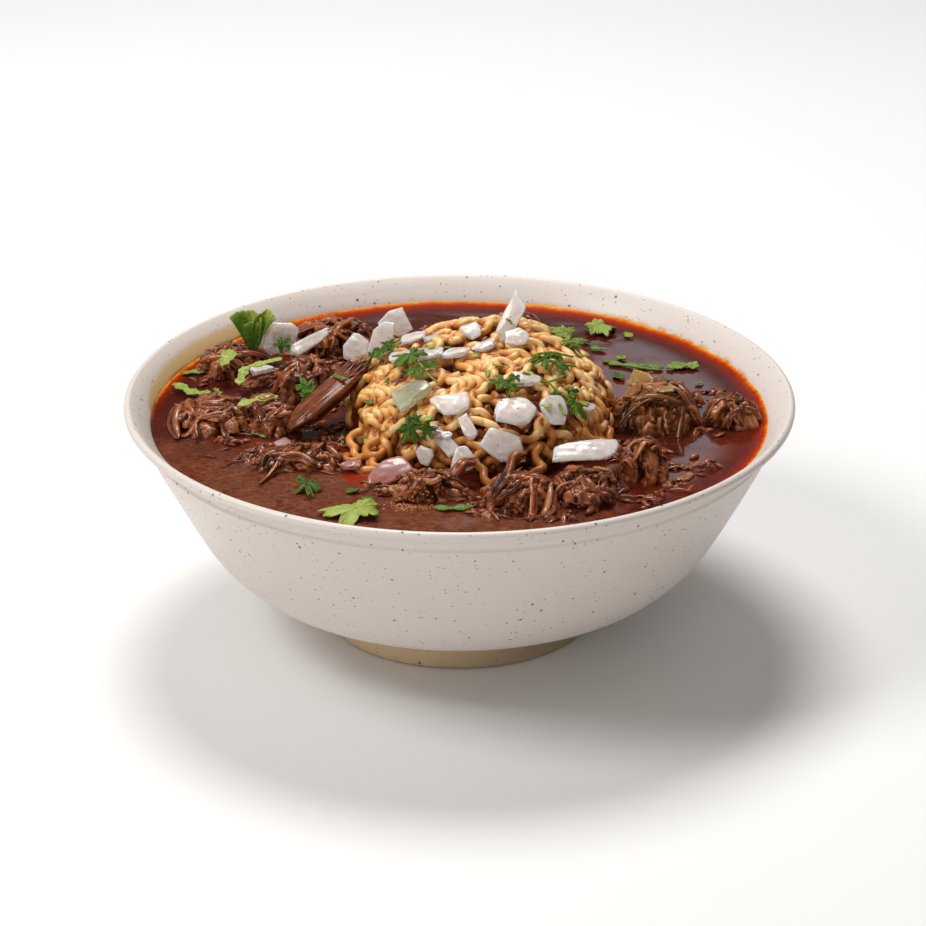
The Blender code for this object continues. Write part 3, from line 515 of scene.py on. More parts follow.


# Painted highlight on the high, free tops of the heap
NOODLE_PAINTED_HIGHLIGHT = (0.90, 0.59, 0.25)
NOODLE_TAN = (0.54, 0.190, 0.030)
NOODLE_RED = (0.52, 0.155, 0.022)
NOODLE_FOOT = (0.46, 0.10, 0.012)
NOODLE_SPECK = (0.14, 0.030, 0.007)


def noodle_finish(settings):
    """The mesh gives each point how soaked it is, with painted shade added low and in the gaps, the tint of
    its noodle, and 1 on the core.
    """
    finish = Finish("wheat_noodle", coat_weight=0.24, coat_roughness=0.16, ior=1.36,
                    subsurface_weight=0.10, subsurface_radius=(1.0, 0.40, 0.15), subsurface_scale=0.0008)
    place = finish.place()
    soak, tint, core = finish.split(finish.data("state"))
    _, _, z = finish.split(place)
    mottle = finish.clouds(place, 3.0, 3.0)
    level = soak + (mottle - 0.5) * 0.45 + (tint - 0.5) * 0.24
    red = finish.fade(finish.clouds(place, 8.0, 3.0) + soak * 0.25, 0.58, 0.80)
    foot = finish.fade(BROTH_LEVEL + 3.0 - z + (mottle - 0.5) * 6.0, 0.0, 4.0)
    # Darker low in the heap and deep in the gaps: broth soak and painted shade; palest on the free tops:
    # painted highlight; the core is painted dark as shade between the strands
    colour = finish.layered(
        finish.ramp(level, (0.0, NOODLE_PAINTED_HIGHLIGHT), (0.20, settings.fresh), (0.42, NOODLE_TAN),
                    (0.72, settings.soaked)),
        (red * 0.45, NOODLE_RED),
        (foot * 0.65, NOODLE_FOOT),
        (finish.dots(place, 1.8, 0.20, 0.30, 0.4) * 0.80, NOODLE_SPECK),
        (core, lighter(settings.soaked, 0.55)))
    return finish.surface(base_color=colour, roughness=finish.clouds(place, 2.0) * 0.22 + 0.30,
                          normal=finish.bump(finish.clouds(place, 0.8, 2.0), 0.05))


BEEF_BROWN = (0.130, 0.031, 0.009)
BEEF_PALE = (0.52, 0.215, 0.085)
BEEF_SHADE = (0.115, 0.024, 0.007)
BEEF_AMBER = (0.40, 0.115, 0.018)
BEEF_GOLDEN = (0.30, 0.135, 0.028)
BEEF_SOAKED = (0.15, 0.016, 0.004)
GOLDEN_SPOT = ((62, -2), 17.0)    # fat and crumbs on the large clump at the right: place in plan, size


def beef_finish(settings):
    """The mesh gives each point its run along and round the grain, the lightness of its shred, how
    soaked it is and how far it stands out."""
    finish = Finish("pulled_beef", coat_roughness=0.14, ior=1.33, specular_ior_level=0.25)
    place = finish.place()
    x, y, _ = finish.split(place)
    grain = finish.data("grain")
    tint, soak, ridge = finish.split(finish.data("state"))
    fibres = finish.clouds(finish.scaled(grain, (0.08, 1.0, 1.0)), 0.58, 4.0, 0.65)
    crumbs = finish.clouds(place, 2.0, 4.0, 0.65)
    # Ridge paints light and shade: darker in grooves and in creases between chunks, lighter on raised ridges
    level = fibres * 0.85 + crumbs * 0.35 + (tint - 0.5) * 0.40 + (ridge - 0.5) * 0.55 - 0.10
    patches = finish.fade(finish.clouds(place, 8.0, 2.0), 0.48, 0.68)
    amber = finish.fade(finish.clouds(place, 5.0, 2.0, 0.5, 0.5), 0.56, 0.70)
    spot, size = GOLDEN_SPOT
    golden = finish.fade(size - plan_distance(x, y, spot) + (crumbs - 0.5) * 24.0, 0.0, 9.0)
    colour = finish.layered(
        finish.ramp(level, (0.20, settings.dark), (0.40, BEEF_BROWN), (0.60, settings.light),
                    (0.90, BEEF_PALE)),
        (patches * 0.5, BEEF_SHADE),
        (amber * 0.40, BEEF_AMBER),
        (golden * finish.fade(fibres, 0.35, 0.60) * 0.75, BEEF_GOLDEN),
        (soak * 0.6, BEEF_SOAKED))
    roughness = finish.fade(finish.clouds(place, 2.4), 0.35, 0.7) * 0.35 + 0.22
    relief = finish.bump(crumbs, 0.35, finish.bump(fibres, 0.45))
    return finish.surface(base_color=colour, roughness=roughness, normal=relief,
                          coat_weight=finish.fade(ridge, 0.25, 0.75) * 0.65)


ONION_SHADED_MIDDLE = (0.88, 0.84, 0.83)       # how much of its colour a piece keeps away from its cuts; the darker middle is painted shade of what shows through
ONION_STAIN = (0.50, 0.10, 0.04)


def onion_finish(name, base, clear):
    """Raw onion of one colour; clear says how much light goes straight through.

    The mesh gives each point its place in its own layer and how near it is to the cut."""
    finish = Finish(name, ior=1.36, subsurface_weight=0.35, subsurface_radius=(1.0, 0.9, 0.75),
                    subsurface_scale=0.0025, coat_weight=0.40, coat_roughness=0.10, transmission_weight=clear)
    place = finish.place()
    _, _, z = finish.split(place)
    edge, _, _ = finish.split(finish.data("cut"))
    veins = finish.clouds(finish.scaled(finish.data("grain"), (0.10, 1.0, 0.3)), 1.0, 3.0, 0.6)
    clouds = finish.clouds(place, 4.0, 3.0)
    middle = finish.fade(1 - edge + (clouds - 0.5) * 1.3, 0.05, 0.55)
    low = finish.fade(BROTH_LEVEL + 4.5 - z + (clouds - 0.5) * 5.0, 0.0, 4.0)
    # Darker middle: painted shade of what shows through the piece; bright cut edges: painted rim highlight
    colour = finish.layered(
        lighter(base, 1.05),
        (middle, tuple(a * b for a, b in zip(base, ONION_SHADED_MIDDLE))),
        (finish.fade(veins, 0.48, 0.70) * 0.35, lighter(base, 1.12)),
        (finish.fade(clouds, 0.52, 0.64) * 0.6, lighter(base, 1.20)),
        (finish.fade(edge, 0.78, 0.95) * 0.9, lighter(base, 1.28)),
        (low * 0.60, ONION_STAIN))
    relief = finish.bump(finish.clouds(place, 1.6, 2.0), 0.10, finish.bump(veins, 0.10))
    return finish.surface(base_color=colour, roughness=finish.clouds(place, 3.0) * 0.26 + 0.12,
                          normal=relief)


LEAF_GREEN = (0.100, 0.195, 0.012)
LEAF_EDGE = (0.25, 0.34, 0.030)


def leaf_finish(settings):
    """The mesh gives each point its share of the way out, its angle and the lightness of its leaf."""
    finish = Finish("cilantro", coat_weight=0.08, coat_roughness=0.22, ior=1.36, specular_ior_level=0.35)
    place = finish.place()
    out, angle, light = finish.split(finish.data("leaf"))
    dark, pale = settings.dark, settings.light
    level = light * 0.72 + (finish.clouds(place, 1.5, 4.0, 0.6) - 0.5) * 0.7 + 0.20
    rays = finish.node("ShaderNodeMath", {"operation": "SINE"}, {0: angle * 9.0})
    vein = finish.fade(rays, 0.90, 1.0) * finish.fade(0.96 - out, 0.0, 0.3)
    colour = finish.layered(
        finish.ramp(level, (0.0, lighter(dark, 0.5)), (0.28, dark), (0.56, LEAF_GREEN), (0.88, pale)),
        (vein * 0.35, lighter(pale, 1.1)),
        (finish.fade(out, 0.84, 1.0) * 0.40, LEAF_EDGE))
    relief = finish.bump(finish.clouds(place, 0.8, 3.0), 0.25, finish.bump(vein, 0.20))
    return finish.surface(base_color=colour, roughness=finish.clouds(place, 1.5) * 0.25 + 0.32,
                          normal=relief)


def plain_finish(name, colour, roughness, spread):
    """Even paint with a faint cloud over it."""
    finish = Finish(name)
    clouds = finish.clouds(finish.place(), spread)
    return finish.surface(base_color=finish.blend(clouds, colour, lighter(colour, 0.97)), roughness=roughness)


# ---------------------------------------------------------------- meshes

class Pile:
    """Many shapes that become one mesh, with what the finish reads on each of their points."""

    def __init__(self):
        self.points = []
        self.faces = []
        self.data = {}
        self.count = 0

    def add(self, points, faces, **data):
        self.points.append(points)
        self.faces += [group + self.count for group in faces]
        self.count += len(points)
        for name, values in data.items():
            self.data.setdefault(name, []).append(np.broadcast_to(values, (len(points), 3)))

    def make(self, name, finish, nodes=(), slot=None):
        """Join the shapes to one object that rides with the bowl and stands for the nodes."""
        points = np.concatenate(self.points) * MM
        faces = [face for group in self.faces for face in group.tolist()]
        mesh = bpy.data.meshes.new(name)
        mesh.from_pydata(points.tolist(), [], faces)
        for key, values in self.data.items():
            layer = mesh.attributes.new(key, "FLOAT_VECTOR", "POINT")
            layer.data.foreach_set("vector", np.concatenate(values).astype(np.float32).ravel())
        mesh.shade_smooth()
        mesh.materials.append(finish)
        obj = add_object(name, mesh)
        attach(obj, "root")
        if nodes:
            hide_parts(*nodes)
        return obj


def add_object(name, data):
    obj = bpy.data.objects.new(name, data)
    bpy.context.scene.collection.objects.link(obj)
    return obj


def turns(count):
    """Even angles round a circle."""
    return 2 * math.pi * np.arange(count) / count


def any_turn(draw):
    """Where a wave starts."""
    return draw.uniform(0, 6.3)


def unit(vectors):
    """Vectors at a length of 1."""
    return vectors / np.maximum(np.linalg.norm(vectors, axis=-1, keepdims=True), 1e-9)


def lattice(rows, columns, closed):
    """Quads of a grid of points; a closed one joins its last column to its first."""
    across = columns if closed else columns - 1
    i, j = np.meshgrid(np.arange(rows - 1), np.arange(across), indexing="ij")
    i, j = i.ravel(), j.ravel()
    after = (j + 1) % columns
    near, far = i * columns, (i + 1) * columns
    return np.stack([near + j, far + j, far + after, near + after], -1)


def sweep(path, ups, outline):
    """Closed tube along the path. The outline (n, k, 2) is its section at each point."""
    ahead = unit(np.gradient(path, axis=0))
    side = unit(np.cross(ahead, ups))
    up = np.cross(side, ahead)
    rings = path[:, None] + side[:, None] * outline[..., :1] + up[:, None] * outline[..., 1:]
    rows, columns = rings.shape[:2]
    cap = np.stack([np.zeros(columns - 2, int), np.arange(1, columns - 1), np.arange(2, columns)], -1)
    last = (rows - 1) * columns + cap[:, ::-1]
    return rings.reshape(-1, 3), [lattice(rows, columns, True), cap, last]


def rounded(sides, power, radius):
    """Section between a circle and a square."""
    turn = 2 * math.pi * (np.arange(sides) + 0.5) / sides
    reach = (np.abs(np.cos(turn)) ** power + np.abs(np.sin(turn)) ** power) ** (-1 / power)
    return np.stack([np.cos(turn) * reach, np.sin(turn) * reach], -1) * radius


def ball(levels, around):
    """Points on a ball of radius 1 whose rows lie at these angles from its top."""
    turn = np.linspace(0, 2 * math.pi, around, endpoint=False)
    return np.stack([np.outer(np.sin(levels), np.cos(turn)), np.outer(np.sin(levels), np.sin(turn)),
                     np.broadcast_to(np.cos(levels)[:, None], (len(levels), around))], -1)


def smooth_curve(points, parts):
    """Points on a Catmull-Rom curve through the given points."""
    ends = np.array([points[0], *points, points[-1]], float)
    curve = []
    for i in range(1, len(ends) - 2):
        a, b, c, d = ends[i - 1:i + 3]
        for k in range(parts):
            t = k / parts
            curve.append(0.5 * (2 * b + (c - a) * t + (2 * a - 5 * b + 4 * c - d) * t * t
                                + (3 * b - a - 3 * c + d) * t ** 3))
    curve.append(ends[-1])
    return np.array(curve)


def ripples(points, spacing, seed):
    """Smooth uneven relief, about -1 to 1, from crossing waves."""
    draw = random.Random(seed)
    total = np.zeros(points.shape[:-1])
    for _ in range(14):
        course = np.array([draw.gauss(0, 1), draw.gauss(0, 1), draw.gauss(0, 1)])
        wave = 2 * math.pi / (spacing * draw.uniform(0.6, 1.7))
        total += np.sin(points @ unit(course) * wave + any_turn(draw))
    return total / 14 ** 0.5


def resample(path, step):
    """The same line with points at an even step."""
    runs = np.concatenate([[0], np.cumsum(np.linalg.norm(np.diff(path, axis=0), axis=1))])
    even = np.linspace(0, runs[-1], max(2, int(runs[-1] / step) + 1))
    return np.stack([np.interp(even, runs, path[:, axis]) for axis in range(path.shape[1])], -1)


def frame_of(centre, along, face):
    """Placing with its X axis along one direction and its Z axis as near as can be to the other."""
    normal = np.array(face, float) if face else heap_normal(np.array(centre, float))
    normal = unit(normal)
    side = np.array(along, float)
    side = unit(side - normal * side.dot(normal))
    return np.array(centre, float), np.stack([side, np.cross(normal, side), normal])


def plan_axes(turn):
    """Axes of a piece that is turned about the vertical."""
    return np.array([[math.cos(turn), math.sin(turn), 0], [-math.sin(turn), math.cos(turn), 0], [0, 0, 1.0]])


def set_in(points, place):
    """Points of a piece's own frame, set into the bowl's."""
    centre, axes = place
    return centre + points @ axes


# ---------------------------------------------------------------- the heap's form

def heap_reach(points):
    """How far out of the heap points are: below 1 inside its core, 1 on it, above 1 outside."""
    across = (points[..., 0] - HEAP_CENTRE[0]) / HEAP_HALF_WIDTH
    depth = points[..., 1] - HEAP_CENTRE[1]
    along = depth / np.where(depth > 0, HEAP_HALF_BACK, HEAP_HALF_FRONT)
    crest = np.exp(-((points[..., 0] - HEAP_CREST[0]) ** 2 + (points[..., 1] - HEAP_CREST[1]) ** 2)
                   / (2 * HEAP_CREST_SPREAD ** 2))
    rise = points[..., 2] - HEAP_SEAT
    rise = rise / np.where(rise > 0, HEAP_RISE + HEAP_CREST_RISE * crest, HEAP_DEPTH)
    return ((across ** 2 + along ** 2) ** (HEAP_POWER / 2) + np.abs(rise) ** HEAP_POWER) ** (1 / HEAP_POWER)


def heap_normal(points):
    """Directions in which the heap's form faces at points."""
    step = 0.05 * np.eye(3)
    return unit(np.stack([heap_reach(points + axis) - heap_reach(points - axis) for axis in step], -1))


def on_heap(points):
    """The points moved on to the heap's form, along lines from its middle."""
    middle = np.array([*HEAP_CENTRE, HEAP_SEAT])
    for _ in range(3):
        points = middle + (points - middle) / heap_reach(points)[..., None]
    return points


def above_heap(x, y):
    """The point of the heap's core above a place in plan."""
    low, high = HEAP_SEAT, HEAP_SEAT + HEAP_RISE + HEAP_CREST_RISE
    for _ in range(20):
        middle = (low + high) / 2
        if heap_reach(np.array([x, y, middle])) < 1:
            low = middle
        else:
            high = middle
    return np.array([x, y, low])


# ---------------------------------------------------------------- bowl

def offset_inwards(points, distance):
    """The profile moved to its inner side."""
    ahead = unit(np.gradient(points, axis=0))
    return points + np.stack([-ahead[:, 1], ahead[:, 0]], -1) * distance


def arc(centre, radius, start, end, steps):
    """Points on an arc between two angles in degrees."""
    turn = np.radians(np.linspace(start, end, steps + 1))
    return np.stack([centre[0] + radius * np.cos(turn), centre[1] + radius * np.sin(turn)], -1)


def turned(profile, steps):
    """Solid of revolution of a profile that runs from the axis round to the axis."""
    turn = turns(steps)
    return np.stack([profile[:, :1] * np.cos(turn), profile[:, :1] * np.sin(turn),
                     np.broadcast_to(profile[:, 1:], (len(profile), steps))], -1)


def make_bowl(settings):
    """The bowl, turned from its profile: rolled lip, collar, foot ring."""
    body = smooth_curve(BODY_CURVE, 6)
    wall = offset_inwards(body, WALL)[::-1]
    flat = BASE_UNDERSIDE + BASE_THICKNESS
    foot_inner = FOOT_RADIUS - FOOT_RING
    inside = smooth_curve([INNER_FLARE[1], INNER_FLARE[0], wall[0]], 5)
    dish, dish_rise = FLOOR_DISH
    outer = np.array([(AT_AXIS, flat), (dish, flat + dish_rise), *wall[::-1],
                      *inside[-2:0:-1], INNER_FLARE[1],
                      *arc((RIM_RADIUS - LIP_ROUND, BOWL_HEIGHT - LIP_ROUND), LIP_ROUND, 120, -90, 16),
                      *smooth_curve([*LIP_UNDERSIDE, *COLLAR_BEAD[::-1], body[-1]], 4),
                      *body[::-1][1:],
                      *arc((FOOT_RADIUS - FOOT_ROUND, FOOT_ROUND), FOOT_ROUND, 0, -90, 6),
                      (foot_inner + FOOT_ROUND, 0.0), (foot_inner, FOOT_ROUND),
                      (foot_inner - 1.0, BASE_UNDERSIDE - 1.2), (foot_inner - 4.0, BASE_UNDERSIDE),
                      (AT_AXIS, BASE_UNDERSIDE)])
    rings = turned(outer, settings.steps)
    within = np.arange(len(outer)) < len(wall) + len(inside) + 6
    pile = Pile()
    pile.add(rings.reshape(-1, 3), [lattice(len(outer), settings.steps, True)],
             side=np.repeat(within, settings.steps)[:, None] * (1.0, 0.0, 0.0))
    return pile.make("melamine_bowl", bowl_finish(settings), ["bowl"], "bowl")


# ---------------------------------------------------------------- broth

BROTH_STEPS = 216
BROTH_OVERLAP = 0.35              # how far the broth reaches into the wall at its edge
MENISCUS = (0.75, 0.8)            # how high the broth climbs the wall, and over what width
RIPPLES = ((0.07, 24.0, 3), (0.03, 7.0, 4))     # height, spacing and seed of each


def make_broth(settings):
    """Broth up to its level: ripples on top, a meniscus at the wall, and the wall's form below."""
    rim = BROTH_RADIUS + BROTH_OVERLAP
    radii = np.concatenate([np.linspace(AT_AXIS, 92.0, 56), np.linspace(92.8, rim, 20)])
    rings = turned(np.stack([radii, np.full(len(radii), BROTH_LEVEL)], -1), BROTH_STEPS)
    climb, width = MENISCUS
    rings[..., 2] += sum(height * ripples(rings, spacing, seed) for height, spacing, seed in RIPPLES)
    rings[..., 2] += climb * np.exp(-(rim - radii[:, None]) / width) - 0.05
    wall = offset_inwards(smooth_curve(BODY_CURVE, 2), WALL - 0.2)[::-1]
    flat = BASE_UNDERSIDE + BASE_THICKNESS
    below = turned(np.array([*wall, (FLOOR_DISH[0], flat + FLOOR_DISH[1] - 0.1), (AT_AXIS, flat)]),
                   BROTH_STEPS)
    shell = np.concatenate([rings, below])
    pile = Pile()
    pile.add(shell.reshape(-1, 3), [lattice(len(shell), BROTH_STEPS, True)[:, ::-1]])
    return pile.make("red_broth", broth_finish(settings), ["broth"], "broth")


# ---------------------------------------------------------------- noodles

CORE_INSET = 3.0                  # how far the soaked core lies inside the heap's form
LIFT_RANGE = (-1.4, 2.1)          # lowest and highest middle line of a noodle over the heap's form
NOODLE_STEP = 0.78
NOODLE_SPREAD = 1.12              # distance between neighbours, in thicknesses
LOOSE_NOODLES = 34                # single noodles that wander over the bundles
HEAP_SPOTS = 1400                 # places on the heap that have to be covered
GOLDEN_TURN = 2.39996             # turn from one place to the next, in radians
SHORTEST_NOODLE = 12              # in steps
LAYER_LIFT = 0.9                  # how much higher each layer of bundles starts
PRESSED = 0.85                    # share of its height that a noodle is lifted by the one below
DUCK_STEP = 0.45                  # by how much a noodle ducks at a time under what lies on it
DUCK_STEPS = 6
TOPPING_NEAR = 0.006              # in metres
# Noodle darkness: broth soak low in the heap, and painted shade where a noodle lies low and under its
# neighbours
SOAK_FOOT, SOAK_HEIGHT, SOAK_AND_SHADE_LIFT, SOAK_AND_SHADE_BURIED = 0.33, 0.28, 0.09, 1.7
LAID_BUNDLES = (                  # middle in plan, heading in degrees, run, strands, curliness
    ((39, -26), -42, 30, 5, 0.45), ((40, -8), -70, 30, 4, 0.9), ((34, -36), -60, 24, 4, 0.6),
    ((-12, 20), 25, 40, 4, 1.0), ((-24, -6), 70, 34, 4, 1.0), ((-22, -24), 55, 30, 4, 1.0),
    ((4, -22), 80, 36, 4, 1.1), ((18, -14), 20, 34, 4, 1.1), ((30, 8), -60, 36, 4, 1.0),
    ((8, 22), -10, 40, 4, 1.0), ((24, 26), 15, 34, 4, 1.0), ((-8, -38), 95, 26, 4, 0.9))
FOOT_NOODLES = (                  # loose noodles half sunk in the broth at the foot of the heap
    ((-28, -18, 77), (-32, -22, 73.5), (-34, -29, 70.5), (-29, -36, 69.4), (-26, -42, 69.6),
     (-31, -46, 69.0)),
    ((-24, -28, 77), (-28, -34, 73), (-27, -41, 70.2), (-21, -43, 70.6), (-17, -48, 69.4)),
    ((-23, -36, 73), (-29, -38, 71.2), (-34, -37, 70.0), (-37, -32, 69.0)),
    ((-14, -42, 77), (-16, -47, 73), (-13, -52, 70.2), (-6, -53, 70.6), (-1, -55, 69.4)),
    ((8, -44, 78), (6, -50, 74), (9, -55, 71), (14, -56, 70.0)),
    ((24, -43, 77), (25, -49, 73.5), (23, -54, 70.8), (28, -56, 70.0)),
    ((39, -30, 77), (43, -32, 74.5), (47, -29, 71.5), (45, -24, 70.4)),
    ((42, -20, 76), (47, -22, 73), (49, -28, 70.6), (46, -33, 70.0)),
    ((45, -2, 76), (49, 2, 72.5), (50, 9, 70.2), (46, 14, 69.8)))


def walk(start, heading, bend, steps):
    """Line over the heap that swerves as it goes: its points, normals and courses."""
    point, ahead = on_heap(start), heading
    line = []
    for i in range(steps):
        normal = heap_normal(point)
        ahead = unit(ahead - normal * ahead.dot(normal))
        line.append((point, normal, ahead))
        size, length, phase = bend
        swerve = size * math.sin(i * NOODLE_STEP / length + phase)
        ahead = unit(ahead + np.cross(normal, ahead) * swerve * NOODLE_STEP)
        point = on_heap(point + ahead * NOODLE_STEP)
    return line


def bundle_line(draw, middle, turn, run, loose=False):
    """Middle line of a bundle that passes over a place on the heap."""
    heading = np.array([math.cos(turn), math.sin(turn), 0.0])
    bend = (draw.uniform(0.01, 0.045), draw.uniform(6, 14), any_turn(draw))
    if loose:
        bend = (draw.uniform(0.08, 0.24), draw.uniform(2.5, 5.5), bend[2])
    steps = int(run / 2 / NOODLE_STEP)
    back = walk(middle, -heading, (-bend[0], bend[1], -bend[2]), steps)
    line = [(point, normal, -ahead) for point, normal, ahead in back[:0:-1]]
    line += walk(middle, heading, bend, steps)
    points, normals, courses = (np.array(part) for part in zip(*line))
    kept = stretch_of(points[:, 2] > BROTH_LEVEL - 1.5, len(back) - 1, len(back) - 1)
    return points[kept], normals[kept], courses[kept]


def stretch_of(good, low, high):
    """The longest stretch round the given one on which every point is good."""
    while low > 0 and good[low - 1]:
        low -= 1
    while high < len(good) - 1 and good[high + 1]:
        high += 1
    return slice(low, high + 1)


def trimmed(line, start, targets, cover):
    """The part of a bundle's line round its start that stays off places covered already."""
    nearest = np.argmin(np.linalg.norm(targets[:, None] - line[0][None], axis=2), axis=0)
    free = np.convolve(cover[nearest] < 1.5, np.ones(9) / 9, "same") > 0.4
    middle = np.argmin(np.linalg.norm(line[0] - start, axis=1))
    kept = stretch_of(free, max(0, middle - 8), min(len(free) - 1, middle + 8))
    return [part[kept] for part in line]


def spots_on_heap():
    """Places spread evenly over the heap above the broth."""
    level = 1 - (np.arange(HEAP_SPOTS) + 0.5) / HEAP_SPOTS
    turn = GOLDEN_TURN * np.arange(HEAP_SPOTS)
    across = np.sqrt(1 - level ** 2)
    spots = np.stack([across * np.cos(turn), across * np.sin(turn), level], -1)
    spots = on_heap(spots * (HEAP_HALF_WIDTH, HEAP_HALF_FRONT, HEAP_RISE) + (*HEAP_CENTRE, HEAP_SEAT))
    return spots[spots[:, 2] > BROTH_LEVEL - 0.5]


def lay_bundles(draw, most, spread):
    """Lines of the bundles: first wherever the heap is bare, then those laid on top, then loose ones."""
    targets = spots_on_heap()
    cover = np.zeros(len(targets))
    bundles = []
    while cover.min() < 1 and len(bundles) < most - len(LAID_BUNDLES):
        wish = cover + np.array([draw.uniform(0, 0.5) for _ in cover])
        start = targets[wish.argmin()]
        out = math.atan2(start[1] - HEAP_CENTRE[1], start[0] - HEAP_CENTRE[0])
        turn = out + draw.choice((-1, 1)) * draw.uniform(0.1, 1.2)
        strands = draw.randint(2, 4)
        line = trimmed(bundle_line(draw, start, turn, draw.uniform(30, 60)), start, targets, cover)
        reach = np.min(np.linalg.norm(targets[:, None] - line[0][None, ::3], axis=2), axis=1)
        cover += reach < (strands * spread) / 2 + 0.6
        bundles.append((line, strands, 0, draw.uniform(0.8, 1.1)))
    for (x, y), degrees, run, strands, curl in LAID_BUNDLES:
        line = bundle_line(draw, above_heap(x, y), math.radians(degrees), run)
        bundles.append((line, strands, 1, curl))
    high = targets[targets[:, 2] > BROTH_LEVEL + 6.0]
    for _ in range(LOOSE_NOODLES):
        start = high[draw.randrange(len(high))]
        line = bundle_line(draw, start, any_turn(draw), draw.uniform(20, 44), True)
        bundles.append((line, 1, 2, draw.uniform(0.3, 0.9)))
    return bundles


def split_bundles(draw, bundles, spread):
    """The noodles of each bundle, side by side and nearly in step."""
    noodles = []
    for number, ((points, normals, courses), strands, layer, curl) in enumerate(bundles):
        phase, stretch = any_turn(draw), draw.uniform(0.95, 1.3)
        side = np.cross(normals, courses)
        for k in range(strands):
            first, last = draw.randint(0, 5), len(points) - draw.randint(0, 5)
            if last - first < SHORTEST_NOODLE:
                continue
            part = slice(first, last)
            shift = (k - (strands - 1) / 2) * spread
            noodles.append({
                "line": on_heap(points[part] + side[part] * shift), "normal": normals[part],
                "course": courses[part], "first": first, "layer": layer, "curl": curl, "stretch": stretch,
                "phase": phase + draw.uniform(-0.3, 0.3) * (1 if layer else 4) + 0.35 * k,
                "tint": draw.random(), "bundle": number})
    return noodles


def curled(noodle, settings):
    """The noodle's line with its waves to the side, and how far they hop up."""
    run = (np.arange(len(noodle["line"])) + noodle["first"]) * NOODLE_STEP
    side = np.cross(noodle["normal"], noodle["course"])
    phase = noodle["phase"] + 2 * math.pi * run / (settings.wave_length / MM * noodle["stretch"])
    phase += 0.7 * np.sin(run / 6 + noodle["phase"])
    uneven = 1 + 0.25 * np.sin(run / 5 + noodle["phase"])
    swing = settings.wave_side / MM * noodle["curl"] * noodle["stretch"] * uneven
    path = noodle["line"] + side * (swing * np.sin(phase))[:, None]
    path -= noodle["course"] * (0.55 * noodle["curl"] * np.sin(2 * phase))[:, None]
    return path, (0.35 + 0.5 * noodle["curl"]) * np.cos(phase)


def point_tree(points):
    """Search tree of points."""
    tree = KDTree(len(points))
    for i, point in enumerate(points):
        tree.insert(point, i)
    tree.balance()
    return tree


def settle(noodles, gap, blocked):
    """Lift each noodle so that it lies on those before it, and sink it below what lies on it."""
    low, high = LIFT_RANGE
    spots, lifts, tree, bundle = [], [], None, None
    for noodle in noodles:
        if noodle["bundle"] != bundle:
            bundle = noodle["bundle"]
            tree = point_tree(spots)
        path, normal = noodle["path"], noodle["normal"]
        lift = np.full(len(path), low + LAYER_LIFT * noodle["layer"])
        for i, point in enumerate(path):
            for _, j, distance in tree.find_range(point, gap):
                lift[i] = max(lift[i], lifts[j] + PRESSED * math.sqrt(gap * gap - distance * distance))
        lift = np.minimum(lift, high + 0.25 * noodle["layer"])
        spread = np.hanning(9)
        lift = np.convolve(np.pad(lift, 4, "edge"), spread / spread.sum(), "valid") + noodle["hop"]
        for i, point in enumerate(path):
            lift[i] = min(lift[i], ceiling(point, normal[i], lift[i], 0.55 * gap, blocked))
        noodle["lift"] = np.convolve(np.pad(lift, 1, "edge"), (0.25, 0.5, 0.25), "valid")
        spots += [tuple(point) for point in path]
        lifts += list(lift - noodle["hop"])


def ceiling(point, normal, lift, clearance, blocked):
    """The highest lift, in steps, at which a noodle stays clear of the toppings."""
    for _ in range(DUCK_STEPS):
        spot = Vector(point + normal * lift) * MM
        near, facing, _, distance = blocked.find_nearest(spot, TOPPING_NEAR)
        if near is None:
            return lift
        outside = (spot - near).dot(facing) > 0
        if outside and distance / MM > clearance:
            return lift
        lift -= DUCK_STEP
    return lift


def toppings_tree():
    """Search tree of the solids that lie on the noodles."""
    corners, faces = [], []
    for name, node in frame["nodes"].items():
        if name.startswith(("onion", "leaf", "beef_slab")):
            start = len(corners)
            corners += [vert.co.copy() for vert in node.data.vertices]
            faces += [[start + i for i in face.vertices] for face in node.data.polygons]
    return BVHTree.FromPolygons(corners, faces)


def bury(noodles, gap):
    """How far each point lies under its neighbours: 0 free, 1 deep in a gap."""
    paths = np.concatenate([noodle["path"] for noodle in noodles])
    lifts = np.concatenate([noodle["lift"] for noodle in noodles])
    tree = point_tree(paths)
    depth = np.array([max(lifts[j] for _, j, _ in tree.find_range(point, gap)) for point in paths])
    return np.clip((depth - lifts) / 3.0, 0, 1)


def make_noodles(settings):
    """The heap: strands that lie on each other, over a soaked core."""
    thickness = settings.thickness / MM
    spread = thickness * NOODLE_SPREAD
    draw = random.Random(12)
    noodles = split_bundles(draw, lay_bundles(draw, settings.bundles, spread), spread)
    for noodle in noodles:
        noodle["path"], noodle["hop"] = curled(noodle, settings)
    settle(noodles, thickness, toppings_tree())
    buried = bury(noodles, 1.25 * thickness)
    section = rounded(8, 3.2, thickness / 2)
    pile = Pile()
    done = 0
    for noodle in noodles:
        path = noodle["path"] + noodle["normal"] * noodle["lift"][:, None]
        points, faces = sweep(path, noodle["normal"], np.repeat(section[None], len(path), 0))
        # Broth soak low in the heap, with painted shade where the noodle lies low and deep under its
        # neighbours
        height = (path[:, 2] - BROTH_LEVEL) / (HEAP_RISE + 1)
        soak = (SOAK_FOOT - SOAK_HEIGHT * height - SOAK_AND_SHADE_LIFT * noodle["lift"]
                + SOAK_AND_SHADE_BURIED * buried[done:done + len(path)])
        done += len(path)
        soak = np.repeat(np.clip(soak, 0, 1), len(section))
        pile.add(points, faces, state=np.stack([soak, np.full(len(soak), noodle["tint"]), soak * 0], -1))
    add_foot_noodles(pile, section, settings.wave_length / MM)
    add_core(pile)
    return pile.make("wavy_noodles", noodle_finish(settings), ["noodles"], "noodles")


